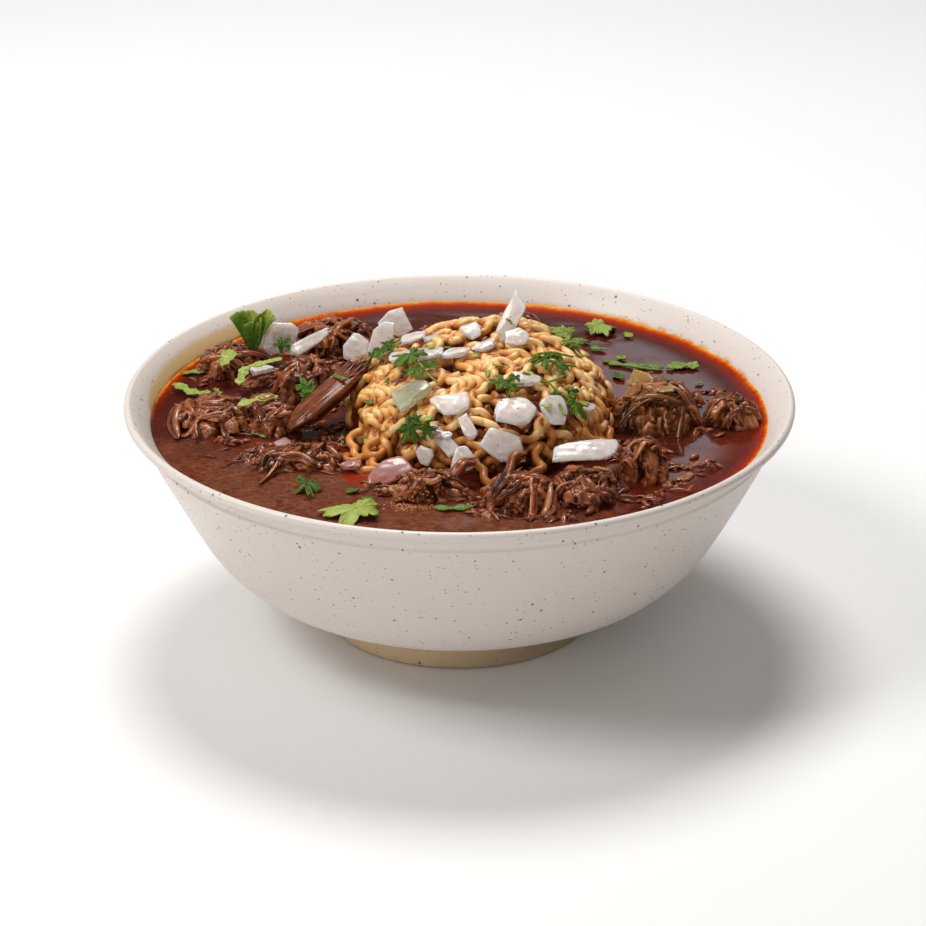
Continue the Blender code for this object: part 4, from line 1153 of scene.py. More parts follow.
def add_foot_noodles(pile, section, wave_length):
    """Loose noodles along the foot of the heap."""
    for i, spots in enumerate(FOOT_NOODLES):
        path = resample(smooth_curve(spots, 10), NOODLE_STEP)
        run = 2 * math.pi * np.arange(len(path)) * NOODLE_STEP / wave_length
        side = unit(np.cross(np.gradient(path, axis=0), (0.0, 0.0, 1.0)))
        path = path + side * 1.2 * np.sin(run + i)[:, None] + np.array([0, 0, 0.5]) * np.cos(run + i)[:, None]
        points, faces = sweep(path, np.broadcast_to((0.0, 0.05, 1.0), path.shape),
                              np.repeat(section[None], len(path), 0))
        pile.add(points, faces, state=(0.40, (i * 0.37) % 1, 0.0))


def add_core(pile):
    """Soaked noodle mass under the strands, which closes the gaps between them; its finish paints it dark as
    the shade in those gaps.
    """
    rows, around = 40, 64
    form = ball(np.linspace(0.02, math.pi - 0.02, rows), around)
    points = on_heap(form * 20 + np.array([*HEAP_CENTRE, HEAP_SEAT])).reshape(-1, 3)
    points -= heap_normal(points) * CORE_INSET
    pile.add(points, [lattice(rows, around, True)], state=(1.0, 0.5, 1.0))


# ---------------------------------------------------------------- beef

def make_beef(pile, name, nodes):
    return pile.make(name, bpy.data.materials["pulled_beef"], nodes, "beef")


def spindle(draw, spots, radius, sides, rows, flutes, flat, ragged):
    """Shred of meat along a curve: it tapers, wanders, has flutes along its grain and ragged ends."""
    share = np.linspace(0, 1, rows)
    curve = smooth_curve(spots, 8)
    at = np.linspace(0, len(curve) - 1, rows)
    path = np.stack([np.interp(at, np.arange(len(curve)), curve[:, axis]) for axis in range(3)], -1)
    course = unit(path[-1] - path[0])
    side = unit(np.cross(course, (0.0, 0.0, 1.0) if abs(course[2]) < 0.9 else (1.0, 0.0, 0.0)))
    sway = draw.uniform(-0.5, 0.5) * radius * np.sin(2 * math.pi * share + draw.uniform(0, 6))
    path = path + side * sway[:, None]
    turn = turns(sides)
    relief = np.ones((rows, sides))
    for _ in range(flutes):
        waves = draw.randint(2, max(2, sides // 3))
        drift, size = draw.uniform(-1.5, 1.5), draw.uniform(0.04, 0.13)
        relief += size * np.sin(waves * turn + drift * share[:, None] * 2 + any_turn(draw))
    knots = sum(draw.uniform(0.02, 0.08) * np.sin(draw.uniform(4, 14) * share + any_turn(draw))
                for _ in range(4))
    taper = (np.clip(4 * share * (1 - share), 0, 1) ** 0.35 * 0.84 + 0.16) * (1 + knots)
    size = (relief * taper[:, None] * radius)[..., None]
    outline = np.stack([np.cos(turn), np.sin(turn) * flat], -1) * size
    points, faces = sweep(path, np.broadcast_to(np.cross(side, course), path.shape), outline)
    torn = np.sin(3 * turn + draw.uniform(0, 6)) + np.sin(7 * turn + draw.uniform(0, 6)) + np.sin(5 * turn)
    push = (np.abs(2 * share - 1) ** 5 * np.sign(share - 0.5))[:, None] * torn * ragged
    points = points + push.reshape(-1, 1) * course
    run = at / (len(curve) - 1) * np.linalg.norm(path[-1] - path[0]) + draw.uniform(0, 90)
    grain = np.stack([np.repeat(run, sides), (outline[..., 0]).ravel(), (outline[..., 1]).ravel()], -1)
    # Ridge is low in the grooves of the flutes, where the finish paints shade
    return points, faces, grain, np.clip(0.5 + (relief - 1) * 1.6, 0, 1).ravel()


def add_shred(pile, draw, spots, radius, sides, rows, flutes, tint=None, soak=0.0, flat=0.8, ragged=0.0):
    """Shred along the spots; without a tint its lightness is drawn."""
    spots = [np.array(spot, float) for spot in spots]
    points, faces, grain, ridge = spindle(draw, spots, radius, sides, rows, flutes, flat, ragged)
    lightness = draw.random() if tint is None else tint
    low = np.clip((BROTH_LEVEL + 1.2 - points[:, 2]) / 1.5, 0, 1)
    state = np.stack([np.full(len(points), lightness), np.maximum(low, soak), ridge], -1)
    pile.add(points, faces, grain=grain, state=state)


LUMP_WAVES = ((2, 0.05), (3, 0.07), (5, 0.07), (8, 0.05), (13, 0.04))   # waves round a lump, their size
LUMP_FACET = (0.58, 0.72)         # length of a facet outwards and round, in millimetres
AREA_PER_CHUNK = 16               # in square millimetres of the half sizes' product, as those below
AREA_PER_LUMP, AREA_PER_SHRED, AREA_PER_FIBRE, AREA_PER_CRUMB = 30, 13, 20, 9


def lump_form(draw, half, rise):
    """Dome with an uneven outline that runs on below the broth: its plan and height on a grid."""
    rows = int(6 + (max(half) + rise) / LUMP_FACET[0])
    sides = int(12 + (half[0] + half[1]) * math.pi / LUMP_FACET[1])
    share = np.linspace(0.02, 1.25, rows)[:, None]
    around = turns(sides)
    ragged = 1 + sum(size * np.sin(waves * around + any_turn(draw)) for waves, size in LUMP_WAVES)
    drop = np.maximum(share - 1, 0)
    wide = np.sin(np.minimum(share, 1) * math.pi / 2) * (1 + 0.25 * drop) * ragged
    x, y = half[0] * (wide * np.cos(around)), half[1] * (wide * np.sin(around))
    height = rise * np.cos(np.minimum(share, 1) * math.pi / 2) ** 1.25 - 6.0 * drop
    return x, y, np.broadcast_to(height, x.shape)


def chunk_spots(draw, half, turn):
    """Middles of the chunks of a lump, spread evenly over its plan."""
    count = int(3 + half[0] * half[1] / AREA_PER_CHUNK)
    spots = []
    for i in range(count):
        reach, bearing = math.sqrt((i + 0.5) / count) * 0.95, 2.4 * i + turn
        spots.append((reach * half[0] * math.cos(bearing) + draw.gauss(0, 0.6),
                      reach * half[1] * math.sin(bearing) + draw.gauss(0, 0.6)))
    return spots


def split_chunks(draw, x, y, spots):
    """For each point its run along and across the grain of its chunk, how deep it lies in a crease
    between two, and the rise, slope, tint and shift of its chunk."""
    away, along, across = [], [], []
    for spot in spots:
        angle = draw.gauss(0, 0.55)
        dx, dy = x - spot[0], y - spot[1]
        along.append(dx * math.cos(angle) + dy * math.sin(angle))
        across.append(dy * math.cos(angle) - dx * math.sin(angle))
        away.append(np.hypot(along[-1] / 1.5, across[-1]))
    order = np.sort(away, axis=0)
    crease = np.exp(-((order[1] - order[0]) / 0.75) ** 2)
    mine = np.argmin(away, axis=0)
    along, across = (np.take_along_axis(np.array(runs), mine[None], 0)[0] for runs in (along, across))
    traits = np.array([(draw.uniform(-0.9, 1.1), draw.uniform(-0.2, 0.2), draw.random(), draw.uniform(0, 90))
                       for _ in spots])[mine]
    return along, across, crease, np.moveaxis(traits, -1, 0)


def add_mass(pile, draw, centre, half, rise, turn, soak=0.0):
    """Lump of torn beef: a dome split into chunks, each with its own grain and bundles of fibres."""
    x, y, height = lump_form(draw, half, rise)
    plan = np.stack([x, y, height * 0.5], -1)
    spots = chunk_spots(draw, half, turn)
    seed = draw.randrange(1000)
    along, across, crease, (lift, slope, tint, shift) = split_chunks(
        draw, x + ripples(plan, 5.0, seed) * 0.9, y + ripples(plan, 5.0, seed + 1) * 0.9, spots)
    lumps, crumbs = ripples(plan, 3.2, seed + 2), ripples(plan, 1.7, seed + 3)
    bundles = np.abs(np.sin(math.pi * (across + 0.30 * lumps) / 1.5 + shift)) ** 0.8
    scale = min(1.0, 0.35 + rise / 8.0)
    relief = (lift + slope * along) * scale - 1.2 * scale * crease
    relief = relief + 0.44 * (bundles - 0.6) + 0.42 * lumps * scale + 0.14 * crumbs
    out = unit(np.stack([x / half[0] ** 2, y / half[1] ** 2, np.maximum(height, 0) / rise ** 2 + 0.002], -1))
    local = np.stack([x, y, height], -1) + out * np.clip(relief, -1.8, 1.5)[..., None]
    points = (np.array(centre, float) + local @ plan_axes(turn)).reshape(-1, 3)
    low = np.clip((BROTH_LEVEL + 1.0 - points[:, 2]) / 1.4, 0, 1)
    # Ridge is low in grooves and in creases between chunks, where the finish paints shade
    ridge = 0.60 + 0.55 * (bundles - 0.6) + 0.16 * lumps + 0.12 * crumbs - 0.9 * crease
    grain = np.stack([along + shift, across + shift, height * 0.5], -1).reshape(-1, 3)
    state = np.stack([tint.ravel(), np.maximum(low, soak), np.clip(ridge, 0, 1).ravel()], -1)
    pile.add(points, [lattice(*x.shape, True)], grain=grain, state=state)


def nudge(draw, reach, low, high):
    """A small step to any side, and up by an amount between the two."""
    return np.array([draw.uniform(-reach, reach), draw.uniform(-reach, reach), draw.uniform(low, high)])


def make_clump(settings, name, seed):
    """Clump of pulled beef: torn lumps on a large one, with shreds and loose fibres along its grain."""
    (x, y), half, rise, turn = BEEF_CLUMPS[name]
    draw = random.Random(seed + 40)
    turn = math.radians(turn)
    grain, across, _ = plan_axes(turn)
    centre = np.array([x, y, BROTH_LEVEL])
    area = half[0] * half[1]
    fibre = settings.fibre / MM
    pile = Pile()

    def dome(a, b, lift=0.0):
        """The point of the dome at shares of its half sizes."""
        height = rise * max(0.0, 1 - 0.92 * (a * a + b * b)) ** 0.5 + lift
        return centre + grain * half[0] * a + across * half[1] * b + np.array([0, 0, height])

    def along(middle, b, reach, skew, lift):
        """A line over the dome along its grain."""
        return [dome(middle + reach * t, b + skew * t, lift) for t in np.linspace(-1, 1, 5)]

    add_mass(pile, draw, centre, (half[0] * 0.97, half[1] * 0.97), rise * 0.86, turn)
    for _ in range(int(3 + area / AREA_PER_LUMP)):
        a, b = draw.uniform(-0.66, 0.66), draw.uniform(-0.66, 0.66)
        size = draw.uniform(2.2, 4.6) * min(1.0, half[1] / 8)
        add_mass(pile, draw, dome(a, b, -1.5), (size * draw.uniform(1.0, 1.7), size), draw.uniform(1.6, 2.8),
                 turn + draw.gauss(0, 0.8))
    for _ in range(int(5 + area / AREA_PER_SHRED)):
        b = draw.uniform(-0.92, 0.92)
        radius, flat = draw.uniform(0.7, 2.0), draw.uniform(0.45, 0.75)
        spots = along(draw.uniform(-0.7, 0.7), b, draw.uniform(0.14, 0.42), draw.gauss(0, 0.45), 0.6)
        if draw.random() < 0.4:
            spots[-1] = spots[-1] + nudge(draw, 1, 0.2, 1.6)
        add_shred(pile, draw, spots, radius, 14, 16, 8, flat=flat, ragged=0.6)
    for _ in range(int(5 + area / AREA_PER_FIBRE)):
        b = draw.uniform(-0.85, 0.85)
        spots = along(draw.uniform(-0.6, 0.6), b, draw.uniform(0.08, 0.28), draw.gauss(0, 0.35),
                      draw.uniform(0.2, 0.9))
        if draw.random() < 0.3:
            spots[-1] = spots[-1] + nudge(draw, 1, 0.3, 1.3)
        add_shred(pile, draw, spots, draw.uniform(0.28, 0.50) * fibre, 5, 9, 1, draw.uniform(0.1, 0.8))
    for _ in range(int(area / AREA_PER_CRUMB)):
        bearing, reach = draw.uniform(0, 2 * math.pi), math.sqrt(draw.uniform(0.05, 1.0))
        spot = dome(reach * math.cos(bearing), reach * math.sin(bearing), 0.7)
        way = np.array([draw.gauss(0, 1), draw.gauss(0, 1), draw.gauss(0, 0.5)])
        way = unit(way) * draw.uniform(0.7, 1.7)
        add_shred(pile, draw, (spot - way, spot + (0, 0, 0.3), spot + way), draw.uniform(0.5, 1.15), 8, 7, 3,
                  flat=0.7, ragged=0.5)
    if name in BEEF_LOOSE_SHREDS:
        start, end = (np.array(spot, float) for spot in BEEF_LOOSE_SHREDS[name])
        middle = (start + end) / 2
        add_shred(pile, draw, (start, middle + (0, 0, 1.8), end), 1.9, 20, 24, 7, 0.7)
        for _ in range(6):
            shift = nudge(draw, 1.2, 0.2, 1.0)
            add_shred(pile, draw, (start + shift, middle + (0, 0, 2.0) + shift, end + shift * 1.4),
                      0.32, 6, 12, 1, 0.8)
    return make_beef(pile, name.replace("beef", "pulled_beef"), [name])


SLAB_FACE = (-0.55, -0.35, 0.75)  # direction in which the slab's broad side looks
SLAB_BOW = (1.2, -2.8)            # how far it bows out of its face and to its side
SLAB_GROOVES = ((2, 0.05), (3, 0.05), (5, 0.035), (11, 0.02), (17, 0.025), (22, 0.025))
SLAB_SHREDS = 26


def make_slab():
    """Long strip of beef that leans on the noodles, grooved along its grain."""
    lower, upper, half_width, half_thickness = BEEF_SLAB
    lower, upper = np.array(lower, float), np.array(upper, float)
    ahead = unit(upper - lower)
    face = unit(np.array(SLAB_FACE) - ahead * ahead.dot(SLAB_FACE))
    side = np.cross(face, ahead)
    draw = random.Random(5)
    rows, sides = 46, 48
    share = np.linspace(0, 1, rows)
    turn = turns(sides)
    bow = np.sin(math.pi * share)[:, None]
    path = lower + (upper - lower) * share[:, None] + face * SLAB_BOW[0] * bow + side * SLAB_BOW[1] * bow
    relief = np.ones((rows, sides))
    for waves, size in SLAB_GROOVES:
        relief += size * np.sin(waves * turn + draw.uniform(-2, 2) * share[:, None] + any_turn(draw))
    taper = np.clip(1 - np.maximum(2 * share - 0.86, 0) ** 2.6 / 1.45, 0.06, 1)
    size = relief * (taper * np.clip(share / 0.2, 0.04, 1) ** 0.5)[:, None]
    outline = np.stack([np.cos(turn) * size * half_width, np.sin(turn) * size * half_thickness], -1)
    points, faces = sweep(path, np.broadcast_to(face, path.shape), outline)
    grain = np.stack([np.repeat(share * 40, sides), outline[..., 0].ravel(), outline[..., 1].ravel()], -1)
    pile = Pile()
    # Ridge is low in the grooves, where the finish paints shade
    ridge = np.clip(0.5 + (relief - 1) * 3.0, 0, 1).ravel()
    pile.add(points, faces, grain=grain, state=np.stack([ridge * 0 + 0.30, ridge * 0, ridge], -1))
    for _ in range(SLAB_SHREDS):
        a, b = draw.uniform(0.02, 0.80), draw.uniform(-0.9, 0.9)
        spot = lower + (upper - lower) * a + side * half_width * b * 0.9
        spot += face * half_thickness * (1 - b * b) ** 0.5 * 0.85
        spot += (face * SLAB_BOW[0] + side * SLAB_BOW[1]) * math.sin(math.pi * a)
        end = spot + ahead * draw.uniform(3, 8) + side * draw.uniform(-1.6, 1.6)
        add_shred(pile, draw, (spot, (spot + end) / 2 + face * 0.2, end), draw.uniform(0.25, 0.6), 8, 10, 2,
                  draw.uniform(0.1, 0.6), flat=0.5, ragged=0.5)
    return make_beef(pile, "pulled_beef_slab", ["beef_slab"])


# ---------------------------------------------------------------- onion

def corner_shares(t):
    """How much the low, middle and high corner weigh at a place from -1 to 1."""
    return np.stack([t * (t - 1) / 2, 1 - t * t, t * (t + 1) / 2], -1)


def chip_shape(size, seed, edge_power, steps=21):
    """Bent piece of onion in its own frame: uneven corners, smooth cuts. Gives the points of its
    upper and lower side on a grid, and how near each is to the cut."""
    draw = random.Random(seed)
    skew = draw.uniform(-0.22, 0.22)
    corners = np.zeros((3, 3, 2))
    for j, y in enumerate((-0.5, 0.0, 0.5)):
        for i, x in enumerate((-0.5, 0.0, 0.5)):
            corners[j, i, 0] = x * (1 + CHIP_UNEVEN * draw.uniform(-1, 1) * abs(y)) + skew * y
            corners[j, i, 1] = y * (1 + CHIP_UNEVEN * draw.uniform(-1, 1) * abs(x))
    share = np.sin(np.linspace(-1, 1, steps) * math.pi / 2)
    u, v = np.meshgrid(share, share)
    edge = np.maximum(np.abs(u), np.abs(v))
    round_off = draw.uniform(-0.06, 0.08)
    u, v = u * np.sqrt(1 - round_off * v * v), v * np.sqrt(1 - round_off * u * u)
    for corner in (0.25, 0.75, 1.25, 1.75, draw.uniform(0, 2)):
        way = corner * math.pi + draw.uniform(-0.50, 0.50)
        over = np.maximum(0, u * math.cos(way) + v * math.sin(way) - draw.uniform(0.68, 1.34))
        u, v = u - over * math.cos(way), v - over * math.sin(way)
    flat = np.einsum("abi,abj,jic->abc", corner_shares(u), corner_shares(v), corners)
    x, y = flat[..., 0] * size[0], flat[..., 1] * size[1]
    drop = (y ** 2 + 0.4 * x ** 2) / (2 * CHIP_BEND)
    thick = CHIP_THIN * size[2] / 2 * (1 - edge ** edge_power) ** 0.5
    thick *= 1 + 0.12 * np.sin(u * 3 + seed) * np.cos(v * 2 + seed) - 0.35 * edge ** 3
    way = draw.uniform(0, 2 * math.pi)
    thick *= 0.86 - 0.28 * (u * math.cos(way) + v * math.sin(way))
    ridges = 0.04 * np.sin(y * 2.3 + 0.4 * x + seed)
    ridges = ridges + 0.09 * ripples(np.stack([x, y, x * 0 + seed * 9.0], -1), 2.6, seed)
    return [np.stack([x, y, up * thick - drop + ridges], -1) for up in (1, -1)], edge


def add_chip(name, centre, size, along, face, seed, kind, nodes):
    """One piece of onion as its own object."""
    (upper, lower), edge = chip_shape(size, seed, settings_of("onion").edge_power)
    steps = len(edge)
    count = steps * steps
    index = np.arange(count).reshape(steps, steps)
    below = index + count
    for border in ((0, slice(None)), (-1, slice(None)), (slice(None), 0), (slice(None), -1)):
        below[border] = index[border]
    quads = lattice(steps, steps, False)[:, ::-1]
    flat = np.concatenate([upper.reshape(-1, 3), lower.reshape(-1, 3)])
    cut = np.tile(edge.reshape(-1, 1), (2, 1)) * (1.0, 0.0, 0.0)
    pile = Pile()
    pile.add(set_in(flat, frame_of(centre, along, face)), [quads, below.ravel()[quads[:, ::-1]]],
             grain=flat + np.array([seed * 17.0, seed * 5.0, 0]), cut=cut)
    return pile.make(name, bpy.data.materials[kind + "_onion"], nodes, "onion")


# ---------------------------------------------------------------- cilantro

LEAF_RINGS, LEAF_SPOKES = 10, 144
LEAF_LOBES = ((0.0, 1.0, 0.42), (1.12, 0.94, 0.40), (2.2, 0.70, 0.42))  # angle, length, width
STRIP_STEP = 0.4                  # between the rows of a ribbon
STRIP_COLUMNS = 9
FAN_GRID = (22, 61)


def leaf_sheet(size, seed, light):
    """Lobed crinkled leaf in its own frame, and for each point its share outwards and its angle."""
    angle = turns(LEAF_SPOKES)
    spread = np.minimum(angle, 2 * math.pi - angle)
    least = 0.28 + 0.36 * max(0.0, light - 0.2)
    lobes = [least + (length - least) * np.exp(-(np.abs(spread - middle) / width) ** 2.6)
             for middle, length, width in LEAF_LOBES]
    reach = np.max(lobes, axis=0) * (1 + 0.11 * np.cos(13 * angle + seed) + 0.05 * np.cos(29 * angle))
    out = np.linspace(0.02, 1, LEAF_RINGS)[:, None]
    x = size[0] / 2 * reach * out * np.cos(angle)
    y = size[1] / 2 * reach * out * np.sin(angle)
    wave = 0.060 * max(size) * np.sin(3 * angle + seed) * out ** 2 - 0.095 * max(size) * (reach * out) ** 2
    wave = wave + 0.28 * np.sin(11 * angle + seed) * out ** 2 + 0.14 * np.cos(22 * angle) * out
    sheet = np.stack([x, y, 0.9 + wave], -1)
    data = np.stack([np.broadcast_to(out, x.shape), np.broadcast_to(angle, x.shape)], -1)
    return sheet.reshape(-1, 3), lattice(LEAF_RINGS, LEAF_SPOKES, True), data.reshape(-1, 2)


def add_leaf(pile, centre, size, along, face, stem_end, light, seed):
    """A leaf; one with a stem has two smaller leaves to its sides."""
    sheets = [(centre, along, 1.15)]
    if stem_end:
        centre, stem_end, along = np.array(centre, float), np.array(stem_end, float), np.array(along, float)
        add_stem(pile, [centre, stem_end], 0.45, light)
        aside = np.cross(heap_normal(centre), along)
        sheets += [(centre + (stem_end - centre) * 0.38 + aside * 2.6, along * 0.4 + aside, 0.72),
                   (centre + (stem_end - centre) * 0.55 - aside * 2.2, along * 0.4 - aside, 0.62)]
    for k, (middle, course, scale) in enumerate(sheets):
        sheet, faces, data = leaf_sheet((size[0] * scale, size[1] * scale), seed + k, light)
        values = np.concatenate([data, np.full((len(data), 1), light)], 1)
        pile.add(set_in(sheet, frame_of(middle, course, face)), [faces], leaf=values)


def add_stem(pile, spots, radius, light):
    """Round stem that thins out along a smooth line."""
    path = resample(smooth_curve(spots, 8), 0.7)
    share = np.linspace(0, 1, len(path))
    ring = rounded(8, 2, radius)[None] * (1.1 - 0.35 * share)[:, None, None]
    ups = np.broadcast_to(np.array([0.3, -0.2, 1.0]), path.shape)
    points, faces = sweep(path + 0.25 * np.sin(share * 7)[:, None] * np.array([1, 1, 0]), ups, ring)
    pile.add(points, faces, leaf=(0.98, 0.0, light * 0.6 + 0.3))


def add_strip(pile, spots, width, light, seed):
    """Ribbon cut from a leaf, ragged along its edges and slightly folded."""
    path = resample(smooth_curve(spots, 10), STRIP_STEP)
    ahead = unit(np.gradient(path, axis=0))
    side = unit(np.cross(ahead, (0.0, 0.0, 1.0)))
    run = np.arange(len(path)) * STRIP_STEP
    across = np.linspace(-1, 1, STRIP_COLUMNS)
    ragged = 1 + 0.22 * np.sin(run * 1.3 + seed) + 0.12 * np.sin(run * 3.7 + seed * 2)
    ends = np.clip(np.minimum(run, run[-1] - run) / 1.2, 0.25, 1)
    reach = width / 2 * (ragged * ends)[:, None] * across
    lift = 0.45 * np.abs(across) ** 1.5 * (width / 4) + 0.25 * np.sin(run * 0.9 + seed)[:, None] * across
    sheet = path[:, None] + side[:, None] * reach[..., None] + np.array([0, 0, 1.0]) * lift[..., None]
    add_sheet(pile, sheet, np.abs(across), run[:, None] * 0.35, light)


def add_sheet(pile, sheet, out, angle, light):
    """A grid of points with what the finish reads on it."""
    grid = sheet.shape[:2]
    values = np.stack([np.broadcast_to(value, grid) for value in (out, angle, light)], -1)
    pile.add(sheet.reshape(-1, 3), [lattice(*grid, False)], leaf=values.reshape(-1, 3))


def add_fan(pile):
    """Broad leaf folded like a tulip, standing on its narrow foot: cupped lobes with toothed tops."""
    level, share = np.linspace(0, 1, FAN_GRID[0])[:, None], np.linspace(-1, 1, FAN_GRID[1])
    for k, (height, half_width, lean, back, cup, light) in enumerate(FAN_LOBES):
        teeth = 0.05 * np.abs(np.sin(2.6 * share + k)) + 0.010 * np.sin(19 * share + k)
        x = FAN_FOOT[0] + share * half_width * (0.22 + 0.78 * level ** 0.8) + lean * level ** 1.3
        y = FAN_FOOT[1] + back * level ** 1.5 - cup * share ** 2 * level
        y = y + 0.5 * np.sin(4.5 * share + k) * level ** 2
        z = FAN_FOOT[2] + height * level * (1 + (teeth - 0.16 * share ** 2) * level ** 3)
        # Lighter towards the tops of the lobes and darker at their foot: painted light and shade
        shade = light + 0.50 * np.clip(level * 3.2 - 2.3 + 0.3 * np.sin(3 * share + k), 0, 1)
        shade = shade - 0.35 * (1 - level) ** 2
        add_sheet(pile, np.stack([np.broadcast_to(part, FAN_GRID) for part in (x, y, z)], -1),
                  level, share * 0.4 + k, shade)


def make_green(name, pile, nodes):
    """One piece of cilantro from its thin sheets and stems."""
    obj = pile.make(name, bpy.data.materials["cilantro"], nodes, "leaf")
    thick = obj.modifiers.new("Thickness", "SOLIDIFY")
    thick.thickness = settings_of("cilantro").thickness
    return obj


# ---------------------------------------------------------------- small bits

GREEN_BITS = (            # place in plan, length, width, lightness
    (-10, -44, 3.6, 2.4, 0.9), (-6, -51, 3.2, 2.0, 1.0), (-17, -54, 4.2, 1.8, 0.9), (29, -57, 4.4, 2.2, 0.9),
    (20, -61, 2.6, 1.8, 0.9), (-33, -61, 5.0, 2.6, 0.2), (-28, -66, 4.0, 2.2, 0.2), (-64, -18, 6.0, 0.9, 0.7),
    (-37, -21, 8.0, 1.0, 0.4), (-23, -18, 2.6, 1.6, 0.2), (-28, -20, 4.2, 2.6, 0.3), (-38, -8, 7.0, 1.1, 0.5),
    (-29, -28, 7.0, 1.0, 0.4), (-44, 33, 4.4, 3.0, 0.4), (-79, 18, 6.0, 1.6, 0.7), (-73, 12, 4.0, 1.4, 0.9),
    (9, -25, 4.0, 1.6, 0.8), (16, 6, 3.0, 1.4, 0.3), (-9, 8, 3.6, 2.4, 0.3), (12, -20, 4.4, 1.6, 0.5),
    (22, -23, 3.2, 1.8, 0.8), (27, -39, 3.6, 2.6, 1.0), (39, -30, 3.4, 2.6, 0.8), (53, 31, 7.0, 3.0, 0.1),
    (64, 22, 6.0, 2.4, 0.1), (79, 25, 4.0, 1.6, 0.6), (-9, -7, 3.0, 2.6, 0.9), (5, -13, 3.2, 2.4, 1.0),
    (47, 55, 6.0, 2.6, 0.5), (41, 62, 7.0, 2.2, 0.4), (55, 47, 4.0, 3.0, 0.6), (58, 68, 5.0, 2.4, 0.7),
    (35, 2, 4.0, 1.4, 0.3), (30, -10, 5.0, 1.4, 0.4), (-4, 0, 3.0, 1.2, 0.7))
BIT_STEMS = (             # ends of thin stems, in plan
    ((31, -37), (33, -41)), ((50, 41), (67, 36)), ((20, -27), (33, -24)), ((24, -16), (36, -12)))
ONION_BITS = (            # place in plan, size, kind
    (-9, 7, (5, 4, 2), "white"), (57, -33, (7, 4, 2.4), "white"), (-56, -24, (6.5, 4.5, 2.4), "white"),
    (-69, -3, (4, 3.5, 2), "pink"), (62, 32, (5, 3, 2), "pink"), (46, -52, (8, 4, 1.6), "amber"),
    (-4, -46, (3.5, 3, 2), "white"), (40, -26, (5, 5, 2.2), "white"), (-7, -45, (5, 3.5, 2), "pink"),
    (59, 5, (9, 6, 1.2), "amber"), (54, -9, (7, 4, 1.1), "amber"), (66, -8, (5, 5, 1.1), "amber"),
    (44, -57, (8, 4, 1.6), "amber"), (70, -50, (7, 4, 1.4), "amber"), (76, -40, (5, 4, 1.4), "amber"),
    (-31, 6, (6, 5, 1.6), "amber"), (-62, -6, (5, 3, 1.4), "amber"))
SUNK_SHREDS = (           # middle in plan, length, direction in degrees, number
    (-62, -28, 16, 10, 10), (-40, -40, 14, -8, 10), (-70, -22, 12, 20, 6), (-72, -36, 12, 30, 5),
    (-68, 8, 14, 15, 9), (-84, 14, 10, 60, 5), (-62, 12, 12, 40, 8), (-66, 26, 12, 30, 8),
    (-84, 28, 10, 50, 5), (-56, 34, 12, 20, 8), (-44, 42, 12, 10, 8), (-56, 52, 12, 10, 6),
    (-36, 36, 10, 30, 6), (-60, 0, 10, 0, 6), (-44, 4, 10, 60, 6), (-42, -14, 9, 50, 5),
    (-27, -57, 10, -15, 5), (-20, -62, 9, 0, 5), (3, -64, 12, 8, 8), (14, -78, 16, 5, 7),
    (30, -80, 12, 12, 7), (28, -60, 12, -10, 8), (48, -56, 11, -20, 8), (38, -50, 9, 20, 4),
    (62, -28, 14, -30, 9), (74, -42, 13, 35, 8), (67, -57, 12, 20, 7), (55, -66, 12, 10, 7),
    (80, -14, 10, 10, 5), (52, -22, 8, 60, 6), (-8, 74, 18, 4, 9), (-24, 62, 12, 10, 7),
    (83, 18, 10, 40, 5), (72, 12, 10, 40, 7), (48, -34, 8, 30, 5), (12, -62, 9, 10, 5),
    (-80, -14, 10, -20, 6), (-39, -22, 10, 20, 7), (-36, -8, 8, 50, 5), (-50, -26, 10, 0, 6),
    (-49, -7, 15, 20, 8), (-66, -14, 14, -10, 7), (-66, 34, 13, 20, 6), (-12, -56, 8, 10, 5),
    (44, -44, 8, 10, 5), (50, -10, 7, 70, 4), (-34, 20, 8, 40, 5), (-23, -63, 9, 20, 4),
    (5, -72, 10, 10, 5), (28, -72, 10, -5, 5), (47, -60, 9, 15, 4), (30, -54, 8, 5, 4))
LANDING = ("red_broth", "wheat_noodle", "pulled_beef", "white_onion", "cilantro")
DROP_HEIGHT = 140                 # from where the small bits come down
SPECKS = 520
SPECK_REACH = 97
FOAM_BUBBLES = 300
FOAM_SPOT = ((-15, 3.4), (-70.5, 2.0))     # middle of the foam and how far it spreads, along X and Y
CHILLI_BROWN = (0.045, 0.012, 0.006)
FOAM_GOLD = (0.42, 0.125, 0.010)
FOAM_BROWN = (0.14, 0.026, 0.004)


def surfaces():
    """Search trees of the finished pieces, to lay small bits on."""
    graph = bpy.context.evaluated_depsgraph_get()
    return [BVHTree.FromObject(obj, graph) for obj in bpy.data.objects
            if obj.type == "MESH" and not obj.get("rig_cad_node") and obj.data.materials
            and obj.data.materials[0].name.split(".")[0] in LANDING]


def land(trees, x, y):
    """The highest finished surface at a place in plan, and its normal turned partly upright."""
    best = None
    for tree in trees:
        spot, normal, _, _ = tree.ray_cast(Vector((x, y, DROP_HEIGHT)) * MM, Vector((0, 0, -1)))
        if spot and (best is None or spot.z > best[0].z):
            best = (spot, normal)
    spot, normal = best
    if normal.z < 0:
        normal = -normal
    return np.array(spot) / MM, unit(np.array(normal) + np.array([0, 0, 0.6]))


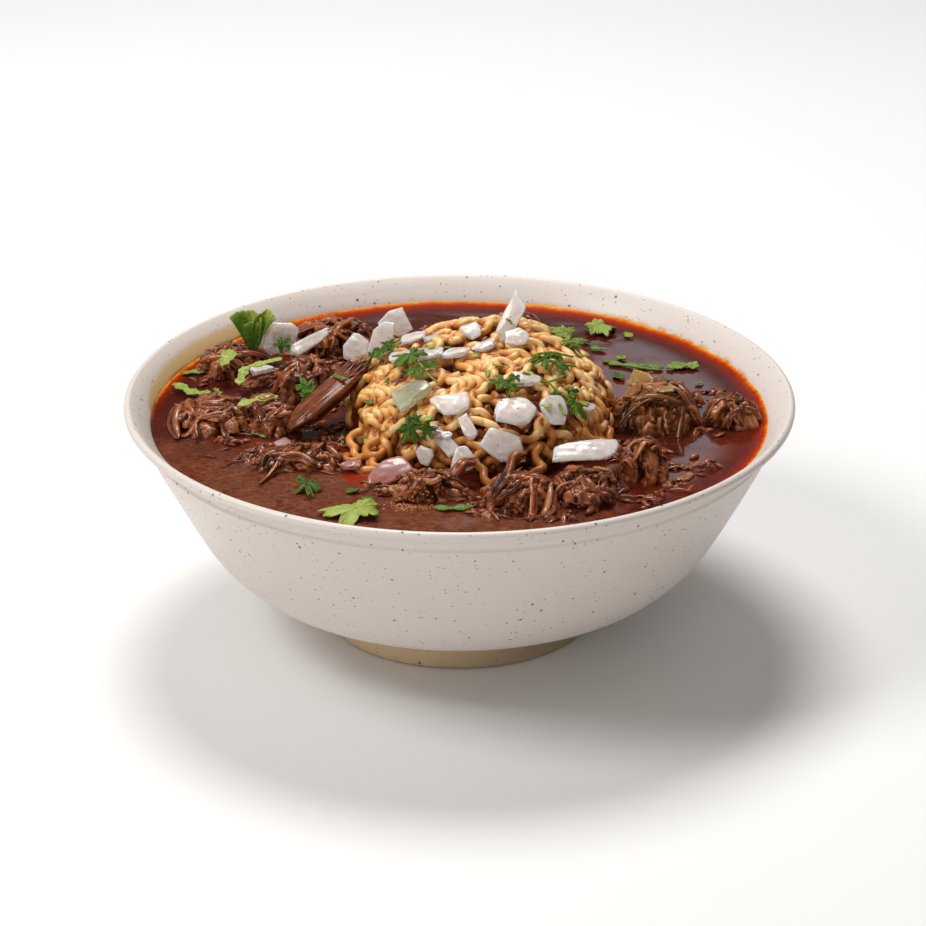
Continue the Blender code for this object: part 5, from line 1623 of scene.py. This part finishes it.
def scatter_greens(trees, draw):
    """Chopped cilantro and thin stems on the food, and strips that float."""
    pile = Pile()
    for i, (x, y, length, width, light) in enumerate(GREEN_BITS):
        spot, normal = land(trees, x, y)
        turn = draw.uniform(0, math.pi)
        course = np.array([math.cos(turn), 0.5 * math.sin(turn), 0.0])
        course = unit(course - normal * course.dot(normal))
        middle = spot + normal * 0.5
        bend = np.cross(normal, course) * draw.uniform(-0.8, 0.8)
        half = course * length / 2
        add_strip(pile, [middle - half, middle + bend, middle + half], width, light, i)
    for (x, y), (u, v) in BIT_STEMS:
        start, end = land(trees, x, y)[0], land(trees, u, v)[0]
        end[2] = max(end[2], start[2] - 2.5)
        middle = land(trees, (x + u) / 2, (y + v) / 2)[0]
        add_stem(pile, [start + (0, 0, 0.6), middle + (0, 0, 1.0), end + (0, 0, 0.6)], 0.45, 0.5)
    for i, (spots, width, light) in enumerate(FLOATING_STRIPS):
        add_strip(pile, [(x, y, BROTH_LEVEL + 0.35) for x, y in spots], width, light, i)
    make_green("cilantro_bits", pile, ())


def scatter_onion(trees):
    """Crumbs of onion, each at its place on the food."""
    for i, (x, y, size, kind) in enumerate(ONION_BITS):
        spot, normal = land(trees, x, y)
        add_chip(f"onion_crumb_{i}", tuple(spot + normal * size[2] * 0.3), size,
                 (math.cos(i * 2.0), math.sin(i * 2.0), 0.1), tuple(normal), 50 + i, kind, ())


def sink_shreds(draw):
    """Torn lumps and shreds of beef that barely break the broth."""
    pile = Pile()
    for x, y, length, turn, count in SUNK_SHREDS:
        turn = math.radians(turn)
        for _ in range(1 + (count > 6)):
            middle = np.array([x + draw.gauss(0, length * 0.2), y + draw.gauss(0, length * 0.12),
                               BROTH_LEVEL - 0.5])
            half = (length * draw.uniform(0.22, 0.44), length * draw.uniform(0.14, 0.24))
            add_mass(pile, draw, middle, half, draw.uniform(1.2, 2.4), turn + draw.gauss(0, 0.5),
                     draw.uniform(0.1, 0.5))
        for _ in range(count):
            grain = plan_axes(turn + draw.gauss(0, 0.5))[0]
            radius, flat = draw.uniform(0.35, 1.2), draw.uniform(0.4, 0.7)
            shift = (draw.gauss(0, length * 0.30), draw.gauss(0, length * 0.22),
                     draw.uniform(0.1, 0.7) - radius * flat)
            middle = np.array([x, y, BROTH_LEVEL]) + shift
            reach = grain * length * draw.uniform(0.10, 0.30)
            arch = np.array([0, 0, draw.uniform(0.1, 0.7)])
            add_shred(pile, draw, (middle - reach, middle + arch, middle + reach), radius, 9, 10, 4,
                      None, draw.uniform(0.1, 0.6), flat, 0.5)
    make_beef(pile, "sunk_shreds", ())


def scatter_specks(trees, draw):
    """Specks of dried chilli all over: flat five-sided flakes with a raised middle."""
    pile = Pile()
    around = np.arange(5) * 1.257
    fan = np.array([[k, (k + 1) % 5, 5] for k in range(5)])
    for _ in range(SPECKS):
        angle, reach = draw.uniform(0, 2 * math.pi), SPECK_REACH * math.sqrt(draw.uniform(0.0, 1.0))
        spot, normal = land(trees, reach * math.cos(angle), reach * math.sin(angle))
        size = draw.uniform(0.14, 0.38)
        ring = np.stack([np.cos(around), np.sin(around) * draw.uniform(0.5, 1), np.zeros(5)], -1) * size
        side = unit(np.cross(normal, (1.0, draw.uniform(-1, 1), 0.2)))
        axes = np.stack([side, np.cross(normal, side), normal])
        tip = np.array([[0, 0, size * 0.6]])
        pile.add(spot + np.concatenate([ring, tip]) @ axes + normal * 0.02, [fan])
    pile.make("spice_specks", plain_finish("dried_chilli", CHILLI_BROWN, 0.4, 3.0), ())


def lay_foam(trees, draw):
    """Patch of small bubbles of foam and oil."""
    pile = Pile()
    dome = ball(np.linspace(0.05, math.pi / 2, 4), 8).reshape(-1, 3)
    for _ in range(FOAM_BUBBLES):
        x, y = (draw.gauss(*spread) for spread in FOAM_SPOT)
        size = draw.uniform(0.15, 0.60)
        pile.add(dome * size * (1, 1, 0.7) + land(trees, x, y)[0], [lattice(4, 8, True)])
    finish = Finish("oil_foam", roughness=0.20, ior=1.33, coat_weight=0.30, coat_roughness=0.08)
    tone = finish.clouds(finish.place(), 1.2)
    pile.make("oil_foam", finish.surface(base_color=finish.blend(tone, FOAM_GOLD, FOAM_BROWN)), ())


def scatter_bits():
    """Everything that is laid on the finished pieces."""
    trees = surfaces()
    draw = random.Random(23)
    scatter_greens(trees, draw)
    scatter_onion(trees)
    sink_shreds(draw)
    scatter_specks(trees, draw)
    lay_foam(trees, draw)


# ---------------------------------------------------------------- stage

CAMERA_AIM = 0.0384               # height on the bowl's axis that the elevation is counted from
CAMERA_TILT = math.radians(23.94)
CAMERA_YAW = math.radians(0.065)
SENSOR_WIDTH, LENS = 36.0, 137.05
FLOOR_HALF = 3.0
FLOOR_GAP = 0.0002
ROOM_COLOUR, ROOM_STRENGTH = (1.0, 0.94, 0.88, 1.0), 0.19
LIGHTS = {                        # place, aim, size, share of the window's power, colour
    "window_light": ((-0.85, -0.25, 1.05), (0, 0, 0.05), 0.55, 1.00, (1.0, 0.99, 0.97)),
    "top_light": ((-0.05, 0.50, 1.15), (0, 0, 0.05), 0.55, 1.25, (1.0, 0.99, 0.98)),
    "front_fill": ((-0.45, -1.6, 0.60), (0, 0, 0.03), 0.9, 0.60, (1.0, 0.98, 0.96)),
    "side_panel": ((0.27, 1.6, 0.72), (0.05, 0, 0.07), 0.34, 0.044, (0.85, 0.90, 1.0)),
}


def add_light(name, place, aim, size, power, colour):
    light = bpy.data.lights.new(name, "AREA")
    light.shape = "DISK"
    light.size = size
    light.energy = power
    light.color = colour
    obj = add_object(name, light)
    obj.location = place
    obj.rotation_euler = (Vector(aim) - Vector(place)).to_track_quat("-Z", "Y").to_euler()


def add_floor(colour):
    mesh = bpy.data.meshes.new("floor")
    corners = [(x * FLOOR_HALF, y * FLOOR_HALF, 0) for x, y in ((-1, -1), (1, -1), (1, 1), (-1, 1))]
    mesh.from_pydata(corners, [], [(0, 1, 2, 3)])
    mesh.materials.append(plain_finish("pale_floor", colour, 0.75, 300.0))
    floor = add_object("floor", mesh)
    floor.location.z = -FLOOR_GAP


def set_stage(settings):
    """Pale floor, soft studio light and the camera at the viewing angle."""
    add_floor(settings.floor)
    for name, (place, aim, size, share, colour) in LIGHTS.items():
        add_light(name, place, aim, size, settings.window_power * share, colour)
    scene = bpy.context.scene
    scene.world = bpy.data.worlds.new("soft_room")
    scene.world.use_nodes = True
    background = scene.world.node_tree.nodes["Background"]
    background.inputs["Color"].default_value = ROOM_COLOUR
    background.inputs["Strength"].default_value = ROOM_STRENGTH
    scene.view_settings.view_transform = "Standard"
    camera = bpy.data.cameras.new("camera")
    camera.sensor_width, camera.lens = SENSOR_WIDTH, LENS
    obj = add_object("camera", camera)
    distance, elevation = settings.camera_distance, settings.camera_elevation
    obj.location = (0, -distance * math.cos(elevation), CAMERA_AIM + distance * math.sin(elevation))
    obj.rotation_euler = (math.pi / 2 - CAMERA_TILT, 0, -CAMERA_YAW)
    scene.camera = obj


# ---------------------------------------------------------------- operators, panel and run

def settings_of(name):
    return getattr(bpy.context.scene, "ramen_" + name)


class RAMEN_OT_bowl(Operator):
    """Turn the speckled bowl"""
    bl_idname = "ramen.bowl"
    bl_label = "Bowl"

    def execute(self, context):
        make_bowl(settings_of("bowl"))
        return {"FINISHED"}


class RAMEN_OT_broth(Operator):
    """Fill the bowl with broth"""
    bl_idname = "ramen.broth"
    bl_label = "Broth"

    def execute(self, context):
        make_broth(settings_of("broth"))
        return {"FINISHED"}


class RAMEN_OT_noodles(Operator):
    """Lay the heap of noodles"""
    bl_idname = "ramen.noodles"
    bl_label = "Noodles"

    def execute(self, context):
        make_noodles(settings_of("noodles"))
        return {"FINISHED"}


class RAMEN_OT_beef(Operator):
    """Lay the clumps and the slab of pulled beef"""
    bl_idname = "ramen.beef"
    bl_label = "Beef"

    def execute(self, context):
        beef_finish(settings_of("beef"))
        make_slab()
        for seed, name in enumerate(BEEF_CLUMPS):
            make_clump(settings_of("beef"), name, seed)
        return {"FINISHED"}


class RAMEN_OT_onion(Operator):
    """Lay the diced onion"""
    bl_idname = "ramen.onion"
    bl_label = "Onion"

    def execute(self, context):
        settings = settings_of("onion")
        for kind, clear in ONION_CLEARNESS.items():
            onion_finish(kind + "_onion", getattr(settings, kind), clear)
        for seed, (name, (centre, size, along, face, tone)) in enumerate(ONIONS.items()):
            kind = "glassy" if tone > 1.5 else "pink" if tone > 0.7 else "white"
            add_chip(name.replace("onion", "diced_onion"), centre, size, along, face, seed, kind, [name])
        return {"FINISHED"}


class RAMEN_OT_cilantro(Operator):
    """Lay the cilantro leaves and strips"""
    bl_idname = "ramen.cilantro"
    bl_label = "Cilantro"

    def execute(self, context):
        leaf_finish(settings_of("cilantro"))
        greens = [(name, add, (*row, seed)) for add, table in ((add_leaf, LEAVES), (add_strip, STRIPS))
                  for seed, (name, row) in enumerate(table.items())]
        for name, add, values in (*greens, ("leaf_fan", add_fan, ())):
            pile = Pile()
            add(pile, *values)
            make_green(name.replace("leaf", "cilantro").replace("strip", "cilantro_strip"), pile, [name])
        return {"FINISHED"}


class RAMEN_OT_bits(Operator):
    """Scatter the small bits over the finished pieces"""
    bl_idname = "ramen.bits"
    bl_label = "Small bits"

    def execute(self, context):
        scatter_bits()
        return {"FINISHED"}


class RAMEN_OT_stage(Operator):
    """Set the floor, the lights and the camera"""
    bl_idname = "ramen.stage"
    bl_label = "Stage"

    def execute(self, context):
        set_stage(settings_of("stage"))
        return {"FINISHED"}


OPERATORS = (RAMEN_OT_bowl, RAMEN_OT_broth, RAMEN_OT_noodles, RAMEN_OT_beef, RAMEN_OT_onion,
             RAMEN_OT_cilantro, RAMEN_OT_bits, RAMEN_OT_stage)


class RAMEN_PT_panel(Panel):
    """Lists what can be built and its settings"""
    bl_idname = "RAMEN_PT_panel"
    bl_label = "Birria ramen bowl"
    bl_space_type = "VIEW_3D"
    bl_region_type = "UI"
    bl_category = "Ramen"

    def draw(self, context):
        for operator in OPERATORS:
            self.layout.operator(operator.bl_idname)
        for name, group in SETTINGS.items():
            box = self.layout.box()
            box.label(text=name.capitalize())
            for key in group.__annotations__:
                box.prop(settings_of(name), key)


CLASSES = (*SETTINGS.values(), *OPERATORS, RAMEN_PT_panel)


def register():
    for cls in CLASSES:
        bpy.utils.register_class(cls)
    for name, group in SETTINGS.items():
        setattr(bpy.types.Scene, "ramen_" + name, PointerProperty(type=group))


def unregister():
    for name in SETTINGS:
        delattr(bpy.types.Scene, "ramen_" + name)
    for cls in reversed(CLASSES):
        bpy.utils.unregister_class(cls)


def main():
    register()
    for operator in OPERATORS:
        getattr(bpy.ops.ramen, operator.bl_idname.split(".")[1])()


if __name__ == "__main__":
    main()
